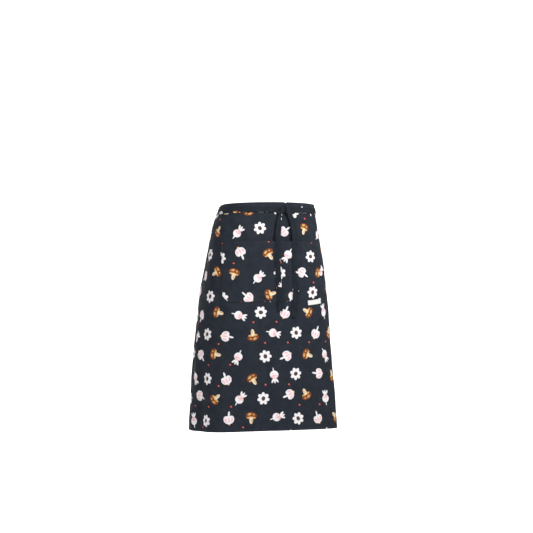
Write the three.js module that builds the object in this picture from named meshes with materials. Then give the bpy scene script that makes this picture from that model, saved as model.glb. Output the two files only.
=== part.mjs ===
// Waist apron in its worn form. A square of cloth hangs from a band round the waist, with a wide
// patch pocket in front, a woven label in the pocket's bottom seam, and two ties that cross behind,
// come round over the band and are knotted in front.
// Millimetres, +Z up. The front faces -Y, and +X is the viewer's right.
// The origin is the middle of the waist, at half the band's height in front.

import * as THREE from 'three';

// Cut sizes of the cloth
const CUT_WIDTH = 700;
const LENGTH = 700;
const BAND_HEIGHT = 29;
const CLOTH = 1.2;
const GAP = 0.3;

// Pocket, with its middle from the panel's middle line, the drop of its mouth below the band's top edge
// and the cut of its lower corners
const POCKET_WIDTH = 330;
const POCKET_MIDDLE = -5;
const POCKET_HEIGHT = 182;
const POCKET_DROP = 121;
const POCKET_CORNER = { across: 20, rise: 17 };
const MOUTH_GAPE = 9.5;
const GAPE_FALL = 1.3;

// Label, hanging below the pocket's bottom edge
const LABEL_WIDTH = 54;
const LABEL_HEIGHT = 14.5;
const LABEL_THICKNESS = 0.7;
const LABEL_ACROSS = 127;

// Ties
const TIE_WIDTH = 16.5;
const TIE_THICKNESS = 1.6;
const TIE_CLEARANCE = 0.7;
const TIE_SEAT = 0.4;
const CROSSING_RISE = 8.6;

// Knot, with its place along the band
const KNOT_ACROSS = 28;
const KNOT_WIDTH = 28;
const KNOT_HEIGHT = 21;
const KNOT_DEPTH = 8;
const KNOT_ARCH = 6;
const KNOT_RAISE = 2.8;
const KNOT_TAPER = 0.86;

// How far the band's edge drops from the front to the middle of the back
const BACK_DIP = 12;

// Where the cloth is hitched up a little, at the pocket's right lower corner
const HITCH = { across: 190, drop: 300, width: 75, height: 110, rise: 12 };

// Facets: the cloth is stepped every CLOTH_STEP across, so that layers lie parallel
const CLOTH_STEP = 10;
const TIE_STEP = 8;
const TAIL_STEP = 14;
const SECTION_STEPS = 180;
const KNOT_STATIONS = 9;
const KNOT_SIDES = 12;

// Horizontal sections of the cloth, by the drop below the band's top edge. Squareness 2 is an ellipse,
// shift moves the section sideways, and drift moves the cloth's middle line along it, both towards +X.
const SECTIONS = [
  { drop: -20, halfWidth: 141, halfDepth: 109, shift: 3, squareness: 2.2, drift: 0 },
  { drop: 0, halfWidth: 145, halfDepth: 111, shift: 0, squareness: 2.2, drift: 0 },
  { drop: 53, halfWidth: 161, halfDepth: 118, shift: -8, squareness: 2.35, drift: 0 },
  { drop: 140, halfWidth: 176, halfDepth: 128, shift: -11, squareness: 2.6, drift: 1 },
  { drop: 283, halfWidth: 199, halfDepth: 142, shift: -15, squareness: 2.6, drift: 10 },
  { drop: 498, halfWidth: 219, halfDepth: 150, shift: -16, squareness: 2.5, drift: 12 },
  { drop: 720, halfWidth: 232, halfDepth: 153, shift: -12.5, squareness: 2.5, drift: 12 },
];

// Soft folds that hang from below the pocket and are deepest at the hem. A negative depth is a hollow.
const FOLDS = [
  { across: -345, width: 48, depth: 6 },
  { across: -262, width: 44, depth: -6 },
  { across: -186, width: 42, depth: 5 },
  { across: -96, width: 58, depth: -4 },
  { across: 8, width: 62, depth: 4 },
  { across: 112, width: 56, depth: -4 },
  { across: 204, width: 46, depth: 5 },
  { across: 278, width: 42, depth: -5 },
  { across: 348, width: 44, depth: 7 },
];
const FOLD_START = 330;

// Rows of the skirt panel's facets, from inside the band to the hem
const SKIRT_DROPS = [29, 60, 90, 121, 151, 181, 212, 242, 273, 303, 350, 400, 460, 520, 580, 640, 700];
const POCKET_DROPS = SKIRT_DROPS.filter((drop) => drop >= POCKET_DROP && drop <= POCKET_DROP + POCKET_HEIGHT);

// Free ends of the ties, by drop. Across runs along the cloth, and lift is the distance off it.
const TAIL_LEFT = [
  { drop: 29, across: 23, lift: 8.2, width: 8 },
  { drop: 40, across: 20, lift: 8.0, width: 11 },
  { drop: 68, across: 15, lift: 8.6, width: 15 },
  { drop: 121, across: 7, lift: 12.9, width: 16.5 },
  { drop: 157, across: 5, lift: 10.6, width: 16.5 },
  { drop: 209, across: 4, lift: 7.5, width: 16.5 },
  { drop: 262, across: 4, lift: 4.9, width: 16.5 },
  { drop: 307, across: 6, lift: 3.6, width: 16.5 },
  { drop: 334, across: 6, lift: 3.0, width: 16.5 },
];
const TAIL_RIGHT = [
  { drop: 29, across: 33, lift: 8.2, width: 8 },
  { drop: 39, across: 43, lift: 8.0, width: 11 },
  { drop: 64, across: 56, lift: 8.6, width: 15 },
  { drop: 121, across: 60, lift: 12.1, width: 16.5 },
  { drop: 157, across: 58, lift: 9.9, width: 15 },
  { drop: 209, across: 59, lift: 7.3, width: 16.5 },
  { drop: 262, across: 57, lift: 4.9, width: 16.5 },
  { drop: 307, across: 53, lift: 3.6, width: 15 },
  { drop: 353, across: 49, lift: 2.6, width: 16.5 },
];

const HALF_CUT = CUT_WIDTH / 2;
const BAND_TOP = BAND_HEIGHT / 2;

// Smooth curves through the rows of a table, one for each column after the first
function curves(rows) {
  const [key, ...columns] = Object.keys(rows[0]);
  const places = rows.map((row) => row[key]);
  const values = rows.flatMap((row) => columns.map((column) => row[column]));
  const spline = new THREE.CubicInterpolant(places, values, columns.length);
  return (place) => {
    const found = spline.evaluate(place);
    return Object.fromEntries(columns.map((column, index) => [column, found[index]]));
  };
}

// Eased steps between the rows of a table, level at each row
function eased(rows) {
  const [key, ...columns] = Object.keys(rows[0]);
  return (place) => {
    const last = rows.findIndex((row, index) => index > 0 && row[key] >= place);
    const high = rows[last < 0 ? rows.length - 1 : last];
    const low = rows[last < 0 ? rows.length - 2 : last - 1];
    const share = THREE.MathUtils.smoothstep(place, low[key], high[key]);
    return Object.fromEntries(
      columns.map((column) => [column, THREE.MathUtils.lerp(low[column], high[column], share)]),
    );
  };
}

const sectionAt = curves(SECTIONS);

// Distance of the section from its middle at an angle from the front, turning towards +X
function reach(section, angle) {
  const deep = (Math.abs(Math.cos(angle)) / section.halfDepth) ** section.squareness;
  const wide = (Math.abs(Math.sin(angle)) / section.halfWidth) ** section.squareness;
  return (deep + wide) ** (-1 / section.squareness);
}

// Angle at a distance along the section from the front, and half its girth
function walk(section, distance) {
  let travelled = 0;
  let angle = 0;
  let from = new THREE.Vector2(0, reach(section, 0));
  const target = Math.abs(distance);
  for (let step = 1; step <= SECTION_STEPS; step += 1) {
    const next = (Math.PI * step) / SECTION_STEPS;
    const radius = reach(section, next);
    const to = new THREE.Vector2(radius * Math.sin(next), radius * Math.cos(next));
    const stride = to.distanceTo(from);
    if (travelled <= target) {
      const share = Math.min(1, (target - travelled) / stride);
      angle = THREE.MathUtils.lerp((Math.PI * (step - 1)) / SECTION_STEPS, next, share);
    }
    travelled += stride;
    from = to;
  }
  return { angle: Math.sign(distance) * angle, halfGirth: travelled };
}

// A point of the body's surface at an angle and a height
function skinPoint(angle, height) {
  const section = sectionAt(BAND_TOP - height);
  const radius = reach(section, angle);
  return new THREE.Vector3(radius * Math.sin(angle) + section.shift, -radius * Math.cos(angle), height);
}

// A point a given lift off the body's surface
function liftedPoint(angle, height, lift) {
  const turnStep = 0.01;
  const heightStep = 2;
  const alongTurn = skinPoint(angle + turnStep, height).sub(skinPoint(angle - turnStep, height));
  const alongHeight = skinPoint(angle, height + heightStep).sub(skinPoint(angle, height - heightStep));
  const outward = alongTurn.cross(alongHeight).normalize();
  return skinPoint(angle, height).addScaledVector(outward, lift);
}

const waistSection = sectionAt(BAND_TOP);
const HALF_GIRTH = walk(waistSection, 0).halfGirth;

// How far the band's edge has dropped at a distance round the waist
function dip(across) {
  return (BACK_DIP / 2) * (1 - Math.cos((Math.PI * across) / HALF_GIRTH));
}

// How far the cloth is hitched up at a place
function hitch(across, drop) {
  const sideways = (across - HITCH.across) / HITCH.width;
  const downward = (drop - HITCH.drop) / HITCH.height;
  return HITCH.rise * Math.exp(-sideways * sideways - downward * downward);
}

// Outward push of the folds
function foldLift(across, drop) {
  const growth = THREE.MathUtils.smoothstep(drop, FOLD_START, LENGTH);
  const push = FOLDS.reduce((sum, fold) => {
    const offset = (across - fold.across) / fold.width;
    return sum + fold.depth * Math.exp(-offset * offset);
  }, 0);
  return growth * push;
}

// A point of the worn cloth: across from the front middle line, drop below the band's top, lift off it.
// The band's dip dies out towards the hem, which hangs level.
function clothPoint(across, drop, lift) {
  const sag = dip(across) * (1 - drop / LENGTH);
  const height = BAND_TOP - drop - sag + hitch(across, drop);
  const section = sectionAt(BAND_TOP - height);
  const { angle } = walk(section, across + section.drift);
  return liftedPoint(angle, height, lift + foldLift(across, drop));
}

// Even steps from one value to another
function steps(from, to, size) {
  const count = Math.max(1, Math.round((to - from) / size));
  return Array.from({ length: count + 1 }, (_, index) => THREE.MathUtils.lerp(from, to, index / count));
}

// Closed solid through rings of points, each with the points of the outline, and closed by caps.
// Every face is split the same way seen from outside, so that layers of cloth stay parallel.
function loft(outline, rings, caps = THREE.ShapeUtils.triangulateShape(outline, [])) {
  const sides = outline.length;
  const positions = rings.flat().flatMap((point) => [point.x, point.y, point.z]);
  const faces = [];
  for (let ring = 0; ring < rings.length - 1; ring += 1) {
    for (let side = 0; side < sides; side += 1) {
      const next = (side + 1) % sides;
      const near = ring * sides;
      const far = near + sides;
      if (outline[next].y < outline[side].y) {
        faces.push(near + side, near + next, far + next, near + side, far + next, far + side);
      } else {
        faces.push(near + side, near + next, far + side, near + next, far + next, far + side);
      }
    }
  }
  const end = (rings.length - 1) * sides;
  caps.forEach(([a, b, c]) => {
    faces.push(a, b, c);
    faces.push(end + c, end + b, end + a);
  });
  const geometry = new THREE.BufferGeometry();
  geometry.setAttribute('position', new THREE.Float32BufferAttribute(positions, 3));
  geometry.setIndex(faces);
  geometry.computeVertexNormals();
  return geometry;
}

// Rings of a piece of cloth whose corners are given as lift and drop, with an extra push by place,
// and none of it lower than its bottom edge
function clothRings(corners, stations, push = () => 0, bottom = () => LENGTH) {
  return stations.map((across) => corners.map(({ lift, drop }) => {
    const cut = Math.min(drop, bottom(across));
    return clothPoint(across, cut, lift + push(across, cut));
  }));
}

// Outline of a piece of cloth, in its lift and drop
function outlineOf(corners) {
  return corners.map(({ lift, drop }) => new THREE.Vector2(lift, -drop));
}

// Wall of even thickness: its corners run down the outer face and up the inner one
function clothWall(drops, inner, thickness, stations, push, bottom) {
  const outerFace = drops.map((drop) => ({ lift: inner + thickness, drop }));
  const innerFace = drops.map((drop) => ({ lift: inner, drop })).reverse();
  const corners = [...outerFace, ...innerFace];
  const caps = drops.slice(1).flatMap((_, row) => {
    const back = corners.length - 1 - row;
    return [[row + 1, row, back], [row + 1, back, back - 1]];
  });
  return loft(outlineOf(corners), clothRings(corners, stations, push, bottom), caps);
}

function skirtPanel() {
  const drops = [CLOTH + GAP, ...SKIRT_DROPS];
  return clothWall(drops, 0, CLOTH, steps(-HALF_CUT, HALF_CUT, CLOTH_STEP));
}

// Inverted channel over the panel's top edge
function waistband() {
  const outer = 2 * CLOTH + GAP;
  const inner = -CLOTH - GAP;
  const corners = [
    { lift: outer, drop: 0 },
    { lift: outer, drop: BAND_HEIGHT },
    { lift: outer - CLOTH, drop: BAND_HEIGHT },
    { lift: outer - CLOTH, drop: CLOTH },
    { lift: inner + CLOTH, drop: CLOTH },
    { lift: inner + CLOTH, drop: BAND_HEIGHT },
    { lift: inner, drop: BAND_HEIGHT },
    { lift: inner, drop: 0 },
  ];
  return loft(outlineOf(corners), clothRings(corners, steps(-HALF_CUT, HALF_CUT, CLOTH_STEP)));
}

// How far the pocket stands off the panel: most at the middle of its mouth, nothing at its seams
function pocketGape(across, drop) {
  const sideways = 1 - ((across - POCKET_MIDDLE) / (POCKET_WIDTH / 2)) ** 2;
  const upward = 1 - (drop - POCKET_DROP) / POCKET_HEIGHT;
  return MOUTH_GAPE * Math.max(0, sideways) * Math.max(0, upward) ** GAPE_FALL;
}

// Bottom edge of the pocket, cut across its corners
function pocketBottom(across) {
  const intoCorner = Math.abs(across - POCKET_MIDDLE) - (POCKET_WIDTH / 2 - POCKET_CORNER.across);
  const share = Math.max(0, intoCorner / POCKET_CORNER.across);
  return POCKET_DROP + POCKET_HEIGHT - share * POCKET_CORNER.rise;
}

function pocket() {
  const half = POCKET_WIDTH / 2;
  const stations = steps(POCKET_MIDDLE - half, POCKET_MIDDLE + half, CLOTH_STEP);
  return clothWall(POCKET_DROPS, CLOTH + GAP, CLOTH, stations, pocketGape, pocketBottom);
}

function pocketLabel() {
  const top = POCKET_DROP + POCKET_HEIGHT + GAP;
  const half = LABEL_WIDTH / 2;
  const stations = steps(LABEL_ACROSS - half, LABEL_ACROSS + half, CLOTH_STEP);
  return clothWall([top, top + LABEL_HEIGHT], CLOTH + GAP, LABEL_THICKNESS, stations);
}

// Heights at which a tie lies on the band, measured from the band's middle line
const TIE_LOW = (TIE_WIDTH - BAND_HEIGHT) / 2;
const TIE_ON_BAND = 2 * CLOTH + GAP + TIE_SEAT;
const TIE_IN_BAND = (CLOTH - TIE_THICKNESS) / 2;
const TIE_OVER_TIE = TIE_IN_BAND + TIE_THICKNESS + TIE_CLEARANCE;

// Route of a tie from its own end of the band, behind and round over the other half of the band to
// the knot. Distances run from the front, round the back. One tie crosses over the other.
function tieRoute(crossingLift, end) {
  const otherEnd = 2 * HALF_GIRTH - HALF_CUT;
  const leave = 12;
  const swap = 30;
  return [
    { round: HALF_CUT + GAP, height: TIE_LOW, lift: TIE_IN_BAND },
    { round: HALF_CUT + leave, height: -CROSSING_RISE, lift: TIE_IN_BAND },
    { round: HALF_CUT + swap, height: -CROSSING_RISE, lift: crossingLift },
    { round: otherEnd - swap, height: CROSSING_RISE, lift: crossingLift },
    { round: otherEnd - leave, height: CROSSING_RISE, lift: TIE_ON_BAND },
    { round: otherEnd + swap, height: CROSSING_RISE, lift: TIE_ON_BAND },
    { round: end - 2 * KNOT_WIDTH, height: TIE_LOW, lift: TIE_ON_BAND },
    { round: end, height: TIE_LOW, lift: TIE_ON_BAND },
  ];
}

// Corners of a strap's section, as lift and height about its middle
function strapCorners(width, thickness) {
  const half = width / 2;
  return [
    new THREE.Vector2(thickness, half),
    new THREE.Vector2(thickness, -half),
    new THREE.Vector2(0, -half),
    new THREE.Vector2(0, half),
  ];
}

// A tie swept along its route, towards +X round the back for side 1 and towards -X for side -1
function waistTie(side, crossingLift) {
  const end = 2 * HALF_GIRTH + side * KNOT_ACROSS - GAP;
  const route = eased(tieRoute(crossingLift, end));
  const outline = strapCorners(TIE_WIDTH, TIE_THICKNESS);
  const rings = steps(HALF_CUT + GAP, end, TIE_STEP).map((round) => {
    const { height, lift } = route(round);
    const wrapped = round > HALF_GIRTH ? round - 2 * HALF_GIRTH : round;
    const { angle } = walk(waistSection, side * wrapped);
    return outline.map((corner) => liftedPoint(angle, height - dip(wrapped) + corner.y, lift + corner.x));
  });
  return loft(outline, side > 0 ? rings : rings.reverse());
}

// A free end of a tie, hanging over the pocket
function tieTail(rows) {
  const route = curves(rows);
  const outline = strapCorners(TIE_WIDTH, TIE_THICKNESS);
  const drops = steps(rows[0].drop, rows[rows.length - 1].drop, TAIL_STEP);
  const rings = drops.map((drop) => {
    const { across, lift, width } = route(drop);
    const share = width / TIE_WIDTH;
    return outline.map((corner) => clothPoint(across + corner.y * share, drop, lift + corner.x));
  });
  return loft(outline, rings);
}

// Rounded knot over the ends of both ties, arched so that its sides hang lower than its middle
function tieKnot() {
  const middleLift = TIE_ON_BAND + TIE_THICKNESS + GAP + KNOT_DEPTH / 2;
  const middleDrop = BAND_HEIGHT / 2 - TIE_LOW - KNOT_RAISE;
  const outline = Array.from({ length: KNOT_SIDES }, (_, side) => {
    const turn = (-2 * Math.PI * side) / KNOT_SIDES;
    return new THREE.Vector2((KNOT_DEPTH / 2) * Math.cos(turn), (KNOT_HEIGHT / 2) * Math.sin(turn));
  });
  const rings = steps(-1, 1, 2 / (KNOT_STATIONS - 1)).map((place) => {
    const share = Math.sqrt(1 - KNOT_TAPER * place * place);
    const across = KNOT_ACROSS + (place * KNOT_WIDTH) / 2;
    const drop = middleDrop + KNOT_ARCH * place * place;
    return outline.map((corner) => clothPoint(across, drop - corner.y * share, middleLift + corner.x * share));
  });
  return loft(outline, rings);
}

const printedCloth = { color: 0x30343b, roughness: 0.85, metalness: 0 };
const whiteWeave = { color: 0xf2f2f0, roughness: 0.75, metalness: 0 };

const apron = new THREE.Group();

function addPiece(name, geometry, finish) {
  const mesh = new THREE.Mesh(geometry, new THREE.MeshStandardMaterial(finish));
  mesh.name = name;
  apron.add(mesh);
}

addPiece('skirt_panel', skirtPanel(), printedCloth);
addPiece('waistband', waistband(), printedCloth);
addPiece('pocket', pocket(), printedCloth);
addPiece('pocket_label', pocketLabel(), whiteWeave);
addPiece('waist_tie_left', waistTie(-1, TIE_OVER_TIE), printedCloth);
addPiece('waist_tie_right', waistTie(1, TIE_IN_BAND), printedCloth);
addPiece('tie_knot', tieKnot(), printedCloth);
addPiece('tie_tail_left', tieTail(TAIL_LEFT), printedCloth);
addPiece('tie_tail_right', tieTail(TAIL_RIGHT), printedCloth);

export default apron;
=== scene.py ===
"""A waist apron in its worn form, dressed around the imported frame.

A square of printed cloth hangs from a band round the waist. It has a wide patch pocket in front, a plain
woven label in the pocket's bottom seam, and two ties that cross behind, come round over the band and are
knotted in front. Metres, +Z up. The front faces -Y, and +X is the viewer's right.
"""

import logging
import math
from collections.abc import Iterator, Sequence
from contextlib import contextmanager
from dataclasses import dataclass, field
from enum import Enum
from typing import ClassVar

import bpy
import numpy as np
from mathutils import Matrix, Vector, noise


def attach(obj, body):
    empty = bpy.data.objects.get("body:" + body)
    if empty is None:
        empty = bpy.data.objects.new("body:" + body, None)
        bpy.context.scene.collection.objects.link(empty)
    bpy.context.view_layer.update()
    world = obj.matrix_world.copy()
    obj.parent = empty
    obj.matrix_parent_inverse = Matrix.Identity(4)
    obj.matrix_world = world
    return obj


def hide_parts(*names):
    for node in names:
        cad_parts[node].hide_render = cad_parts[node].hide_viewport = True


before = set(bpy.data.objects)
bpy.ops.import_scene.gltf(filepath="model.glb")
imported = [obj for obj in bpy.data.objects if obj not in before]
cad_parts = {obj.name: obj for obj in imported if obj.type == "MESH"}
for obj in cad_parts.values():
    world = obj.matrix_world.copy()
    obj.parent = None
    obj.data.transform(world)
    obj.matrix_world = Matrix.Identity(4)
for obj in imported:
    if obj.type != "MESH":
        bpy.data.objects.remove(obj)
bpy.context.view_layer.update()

LOG = logging.getLogger("apron")

Array = np.ndarray
Values = np.ndarray | float
Pair = tuple[float, float]
Colour = tuple[float, float, float, float]
Material = bpy.types.Material
Piece = bpy.types.Object
Socket = bpy.types.NodeSocket

# Cut sizes of the cloth, as the frame has them
CUT_WIDTH = 0.700
LENGTH = 0.700
BAND_HEIGHT = 0.029
WALL = 0.0012
GAP = 0.0003
BACK_DIP = 0.012
HALF_CUT = CUT_WIDTH / 2
BAND_TOP = BAND_HEIGHT / 2

# Share of the band's dip towards the back that the hem follows
HEM_DIP_SHARE = 0.75

# One ply of cloth, and the spacing of plies that lie on each other
PLY = 0.0005
LAYER = 0.00055

# Lifts of the middle of each main ply off the worn form
SKIRT_LIFT = WALL - PLY / 2
POCKET_LIFT = 2 * WALL + GAP - PLY / 2
BAND_OUTER_LIFT = POCKET_LIFT
BAND_INNER_LIFT = PLY / 2 - WALL - GAP

# Lift of a tie that lies on the band, a little clear of it
TIE_SEAT = 0.0004
ON_BAND = 2 * WALL + GAP + TIE_SEAT

# Spacing of the grid lines on what is turned under, and of the points along a row of stitches
HEM_STEP = 0.003
STITCH_STEP = 0.003

# Grid lines nearer to an end than this are left out, and the others are rounded to these decimals
LEAST_SPACING = 0.0004
LINE_DIGITS = 6

# Points closer than this are joined, and edges this near a place lie at it
MERGE_WITHIN = 1e-6
NEAR_ENOUGH = 1e-4

# Edges sharper than these stay sharp, on sheets and on straps
SHEET_SMOOTH = math.radians(50)
STRAP_SMOOTH = math.radians(55)

FLAT_MAP = "flat"
EDGE_WEAR = "edge_wear"
BODY = "root"
CLOTH_SLOT = "printed_cloth"
LABEL_SLOT = "label_weave"


class Side(Enum):
    """The two sides of the apron, as a viewer in front sees them."""

    LEFT = -1
    RIGHT = 1


def linear(red: int, green: int, blue: int) -> Colour:
    """Turns a display colour into a linear one, by the sRGB curve.

    Args:
        red: Red from 0 to 255.
        green: Green from 0 to 255.
        blue: Blue from 0 to 255.

    Returns:
        The linear colour with full alpha.
    """
    shares = np.array([red, green, blue]) / 255
    low = shares / 12.92
    high = ((shares + 0.055) / 1.055) ** 2.4
    red_out, green_out, blue_out = np.where(shares <= 0.04045, low, high)
    return float(red_out), float(green_out), float(blue_out), 1.0


def smoothstep(value: Values, start: float, end: float) -> Array:
    """Eased share of the way from start to end, level at both."""
    share = np.clip((value - start) / (end - start), 0, 1)
    return share * share * (3 - 2 * share)


def bell(offset: Values, width: float) -> Array:
    """Bell curve of an offset, 1 at its middle."""
    return np.exp(-((offset / width) ** 2))


def run_along(points: Array) -> Array:
    """Distance of each point of a line from its first one, along the line."""
    strides = np.linalg.norm(np.diff(points, axis=0), axis=1)
    return np.concatenate([[0], np.cumsum(strides)])


def unit(vectors: Array) -> Array:
    """The same directions at length one."""
    return vectors / np.linalg.norm(vectors, axis=-1, keepdims=True)


class Spline:
    """Smooth curves through the rows of a table; a row's slope is the mean of the chords beside it."""

    def __init__(self, places: Sequence[float], values: Sequence[Sequence[float]]) -> None:
        """Keeps the rows and works out their slopes.

        Args:
            places: Where each row stands, in rising order.
            values: The columns of each row.
        """
        self.places = np.asarray(places, float)
        self.values = np.asarray(values, float)
        chords = np.diff(self.values, axis=0) / np.diff(self.places)[:, None]
        self.slopes = np.vstack([chords[:1], (chords[1:] + chords[:-1]) / 2, chords[-1:]])

    def __call__(self, at: Array) -> Array:
        """Reads every column at some places.

        Args:
            at: Places of any shape, kept inside the table.

        Returns:
            The columns, along a new last axis.
        """
        at = np.clip(np.asarray(at, float), self.places[0], self.places[-1])
        row = np.clip(np.searchsorted(self.places, at, side="right") - 1, 0, len(self.places) - 2)
        span = (self.places[row + 1] - self.places[row])[..., None]
        share = (at - self.places[row])[..., None] / span
        back = 1 - share
        start = (1 + 2 * share) * back**2 * self.values[row] + share * back**2 * span * self.slopes[row]
        end = share**2 * (3 - 2 * share) * self.values[row + 1]
        return start + end - share**2 * back * span * self.slopes[row + 1]


@dataclass(frozen=True)
class Section:
    """Level section of the worn cloth. Squareness 2 is an ellipse, and drift turns the cloth along it."""

    drop: float
    half_width: float
    half_depth: float
    shift: float
    squareness: float
    drift: float


SECTIONS = (
    Section(-0.020, 0.141, 0.109, 0.003, 2.2, 0.0),
    Section(0.0, 0.145, 0.111, 0.0, 2.2, 0.0),
    Section(0.053, 0.161, 0.118, -0.008, 2.35, 0.0),
    Section(0.140, 0.176, 0.128, -0.011, 2.6, 0.001),
    Section(0.283, 0.199, 0.142, -0.015, 2.6, 0.010),
    Section(0.498, 0.219, 0.150, -0.016, 2.5, 0.012),
    Section(0.720, 0.232, 0.153, -0.0125, 2.5, 0.012),
)


@dataclass(frozen=True)
class Fold:
    """Soft fold that hangs from below the pocket and is deepest at the hem. A negative depth is a hollow."""

    across: float
    width: float
    depth: float


FOLDS = (
    Fold(-0.345, 0.048, 0.006),
    Fold(-0.262, 0.044, -0.006),
    Fold(-0.186, 0.042, 0.005),
    Fold(-0.096, 0.058, -0.004),
    Fold(0.008, 0.062, 0.004),
    Fold(0.112, 0.056, -0.004),
    Fold(0.204, 0.046, 0.005),
    Fold(0.278, 0.042, -0.005),
    Fold(0.348, 0.044, 0.007),
)
FOLD_START = 0.330


@dataclass(frozen=True)
class Crease:
    """Shallow ridge in the cloth, or a hollow where depth is negative. Turn is in degrees from upright."""

    across: float
    drop: float
    length: float
    width: float
    turn: float
    depth: float


CREASES = (
    Crease(-0.105, 0.066, 0.050, 0.012, 34, 0.0022),
    Crease(-0.126, 0.074, 0.050, 0.013, 34, -0.0024),
    Crease(0.125, 0.070, 0.045, 0.012, 50, 0.0022),
    Crease(0.140, 0.092, 0.045, 0.014, 50, -0.0022),
    Crease(-0.045, 0.066, 0.034, 0.011, -8, -0.0012),
    Crease(0.072, 0.066, 0.036, 0.010, 10, 0.0012),
    Crease(-0.225, 0.200, 0.090, 0.018, 20, 0.0025),
    Crease(-0.205, 0.260, 0.080, 0.016, 22, -0.0025),
    Crease(0.205, 0.190, 0.085, 0.016, -22, 0.0024),
    Crease(0.192, 0.252, 0.070, 0.014, -28, -0.0022),
    Crease(-0.180, 0.318, 0.060, 0.013, 10, -0.0030),
    Crease(-0.150, 0.340, 0.050, 0.016, 15, 0.0020),
    Crease(-0.100, 0.390, 0.090, 0.016, 64, 0.0018),
    Crease(0.050, 0.420, 0.100, 0.018, -70, -0.0018),
    Crease(0.120, 0.385, 0.070, 0.014, 58, 0.0016),
    Crease(-0.150, 0.570, 0.130, 0.022, 5, -0.0028),
    Crease(-0.095, 0.540, 0.150, 0.024, 3, 0.0030),
    Crease(-0.042, 0.530, 0.160, 0.026, 4, -0.0035),
    Crease(0.012, 0.550, 0.150, 0.024, -4, 0.0028),
    Crease(0.075, 0.560, 0.140, 0.022, -8, -0.0026),
    Crease(0.135, 0.530, 0.140, 0.022, -6, 0.0028),
    Crease(0.245, 0.480, 0.180, 0.020, -3, -0.0040),
    Crease(0.298, 0.520, 0.170, 0.018, -2, 0.0045),
    Crease(0.325, 0.400, 0.140, 0.016, -5, -0.0035),
    Crease(-0.245, 0.520, 0.150, 0.020, 2, -0.0030),
    Crease(-0.285, 0.500, 0.180, 0.019, 3, 0.0045),
    Crease(-0.318, 0.450, 0.160, 0.016, 4, -0.0035),
    Crease(0.222, 0.650, 0.130, 0.018, 1, 0.0030),
    Crease(0.262, 0.640, 0.150, 0.018, 0, -0.0042),
    Crease(0.306, 0.660, 0.160, 0.017, -1, 0.0050),
    Crease(-0.228, 0.655, 0.140, 0.018, -1, 0.0032),
    Crease(-0.266, 0.640, 0.150, 0.017, 0, -0.0042),
    Crease(-0.308, 0.655, 0.150, 0.018, 2, 0.0046),
)

# Uneven hang of the cloth, as pairs of a wave length and a depth, which begins below the band
WAVES = ((0.110, 0.0026), (0.048, 0.0010), (0.023, 0.0003))
HANG_START = 0.026
HANG_FULL = 0.070

# Where the cloth is hitched up a little, at the pocket's right lower corner
HITCH_ACROSS = 0.190
HITCH_DROP = 0.300
HITCH_WIDTH = 0.075
HITCH_HEIGHT = 0.110
HITCH_RISE = 0.012


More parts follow.
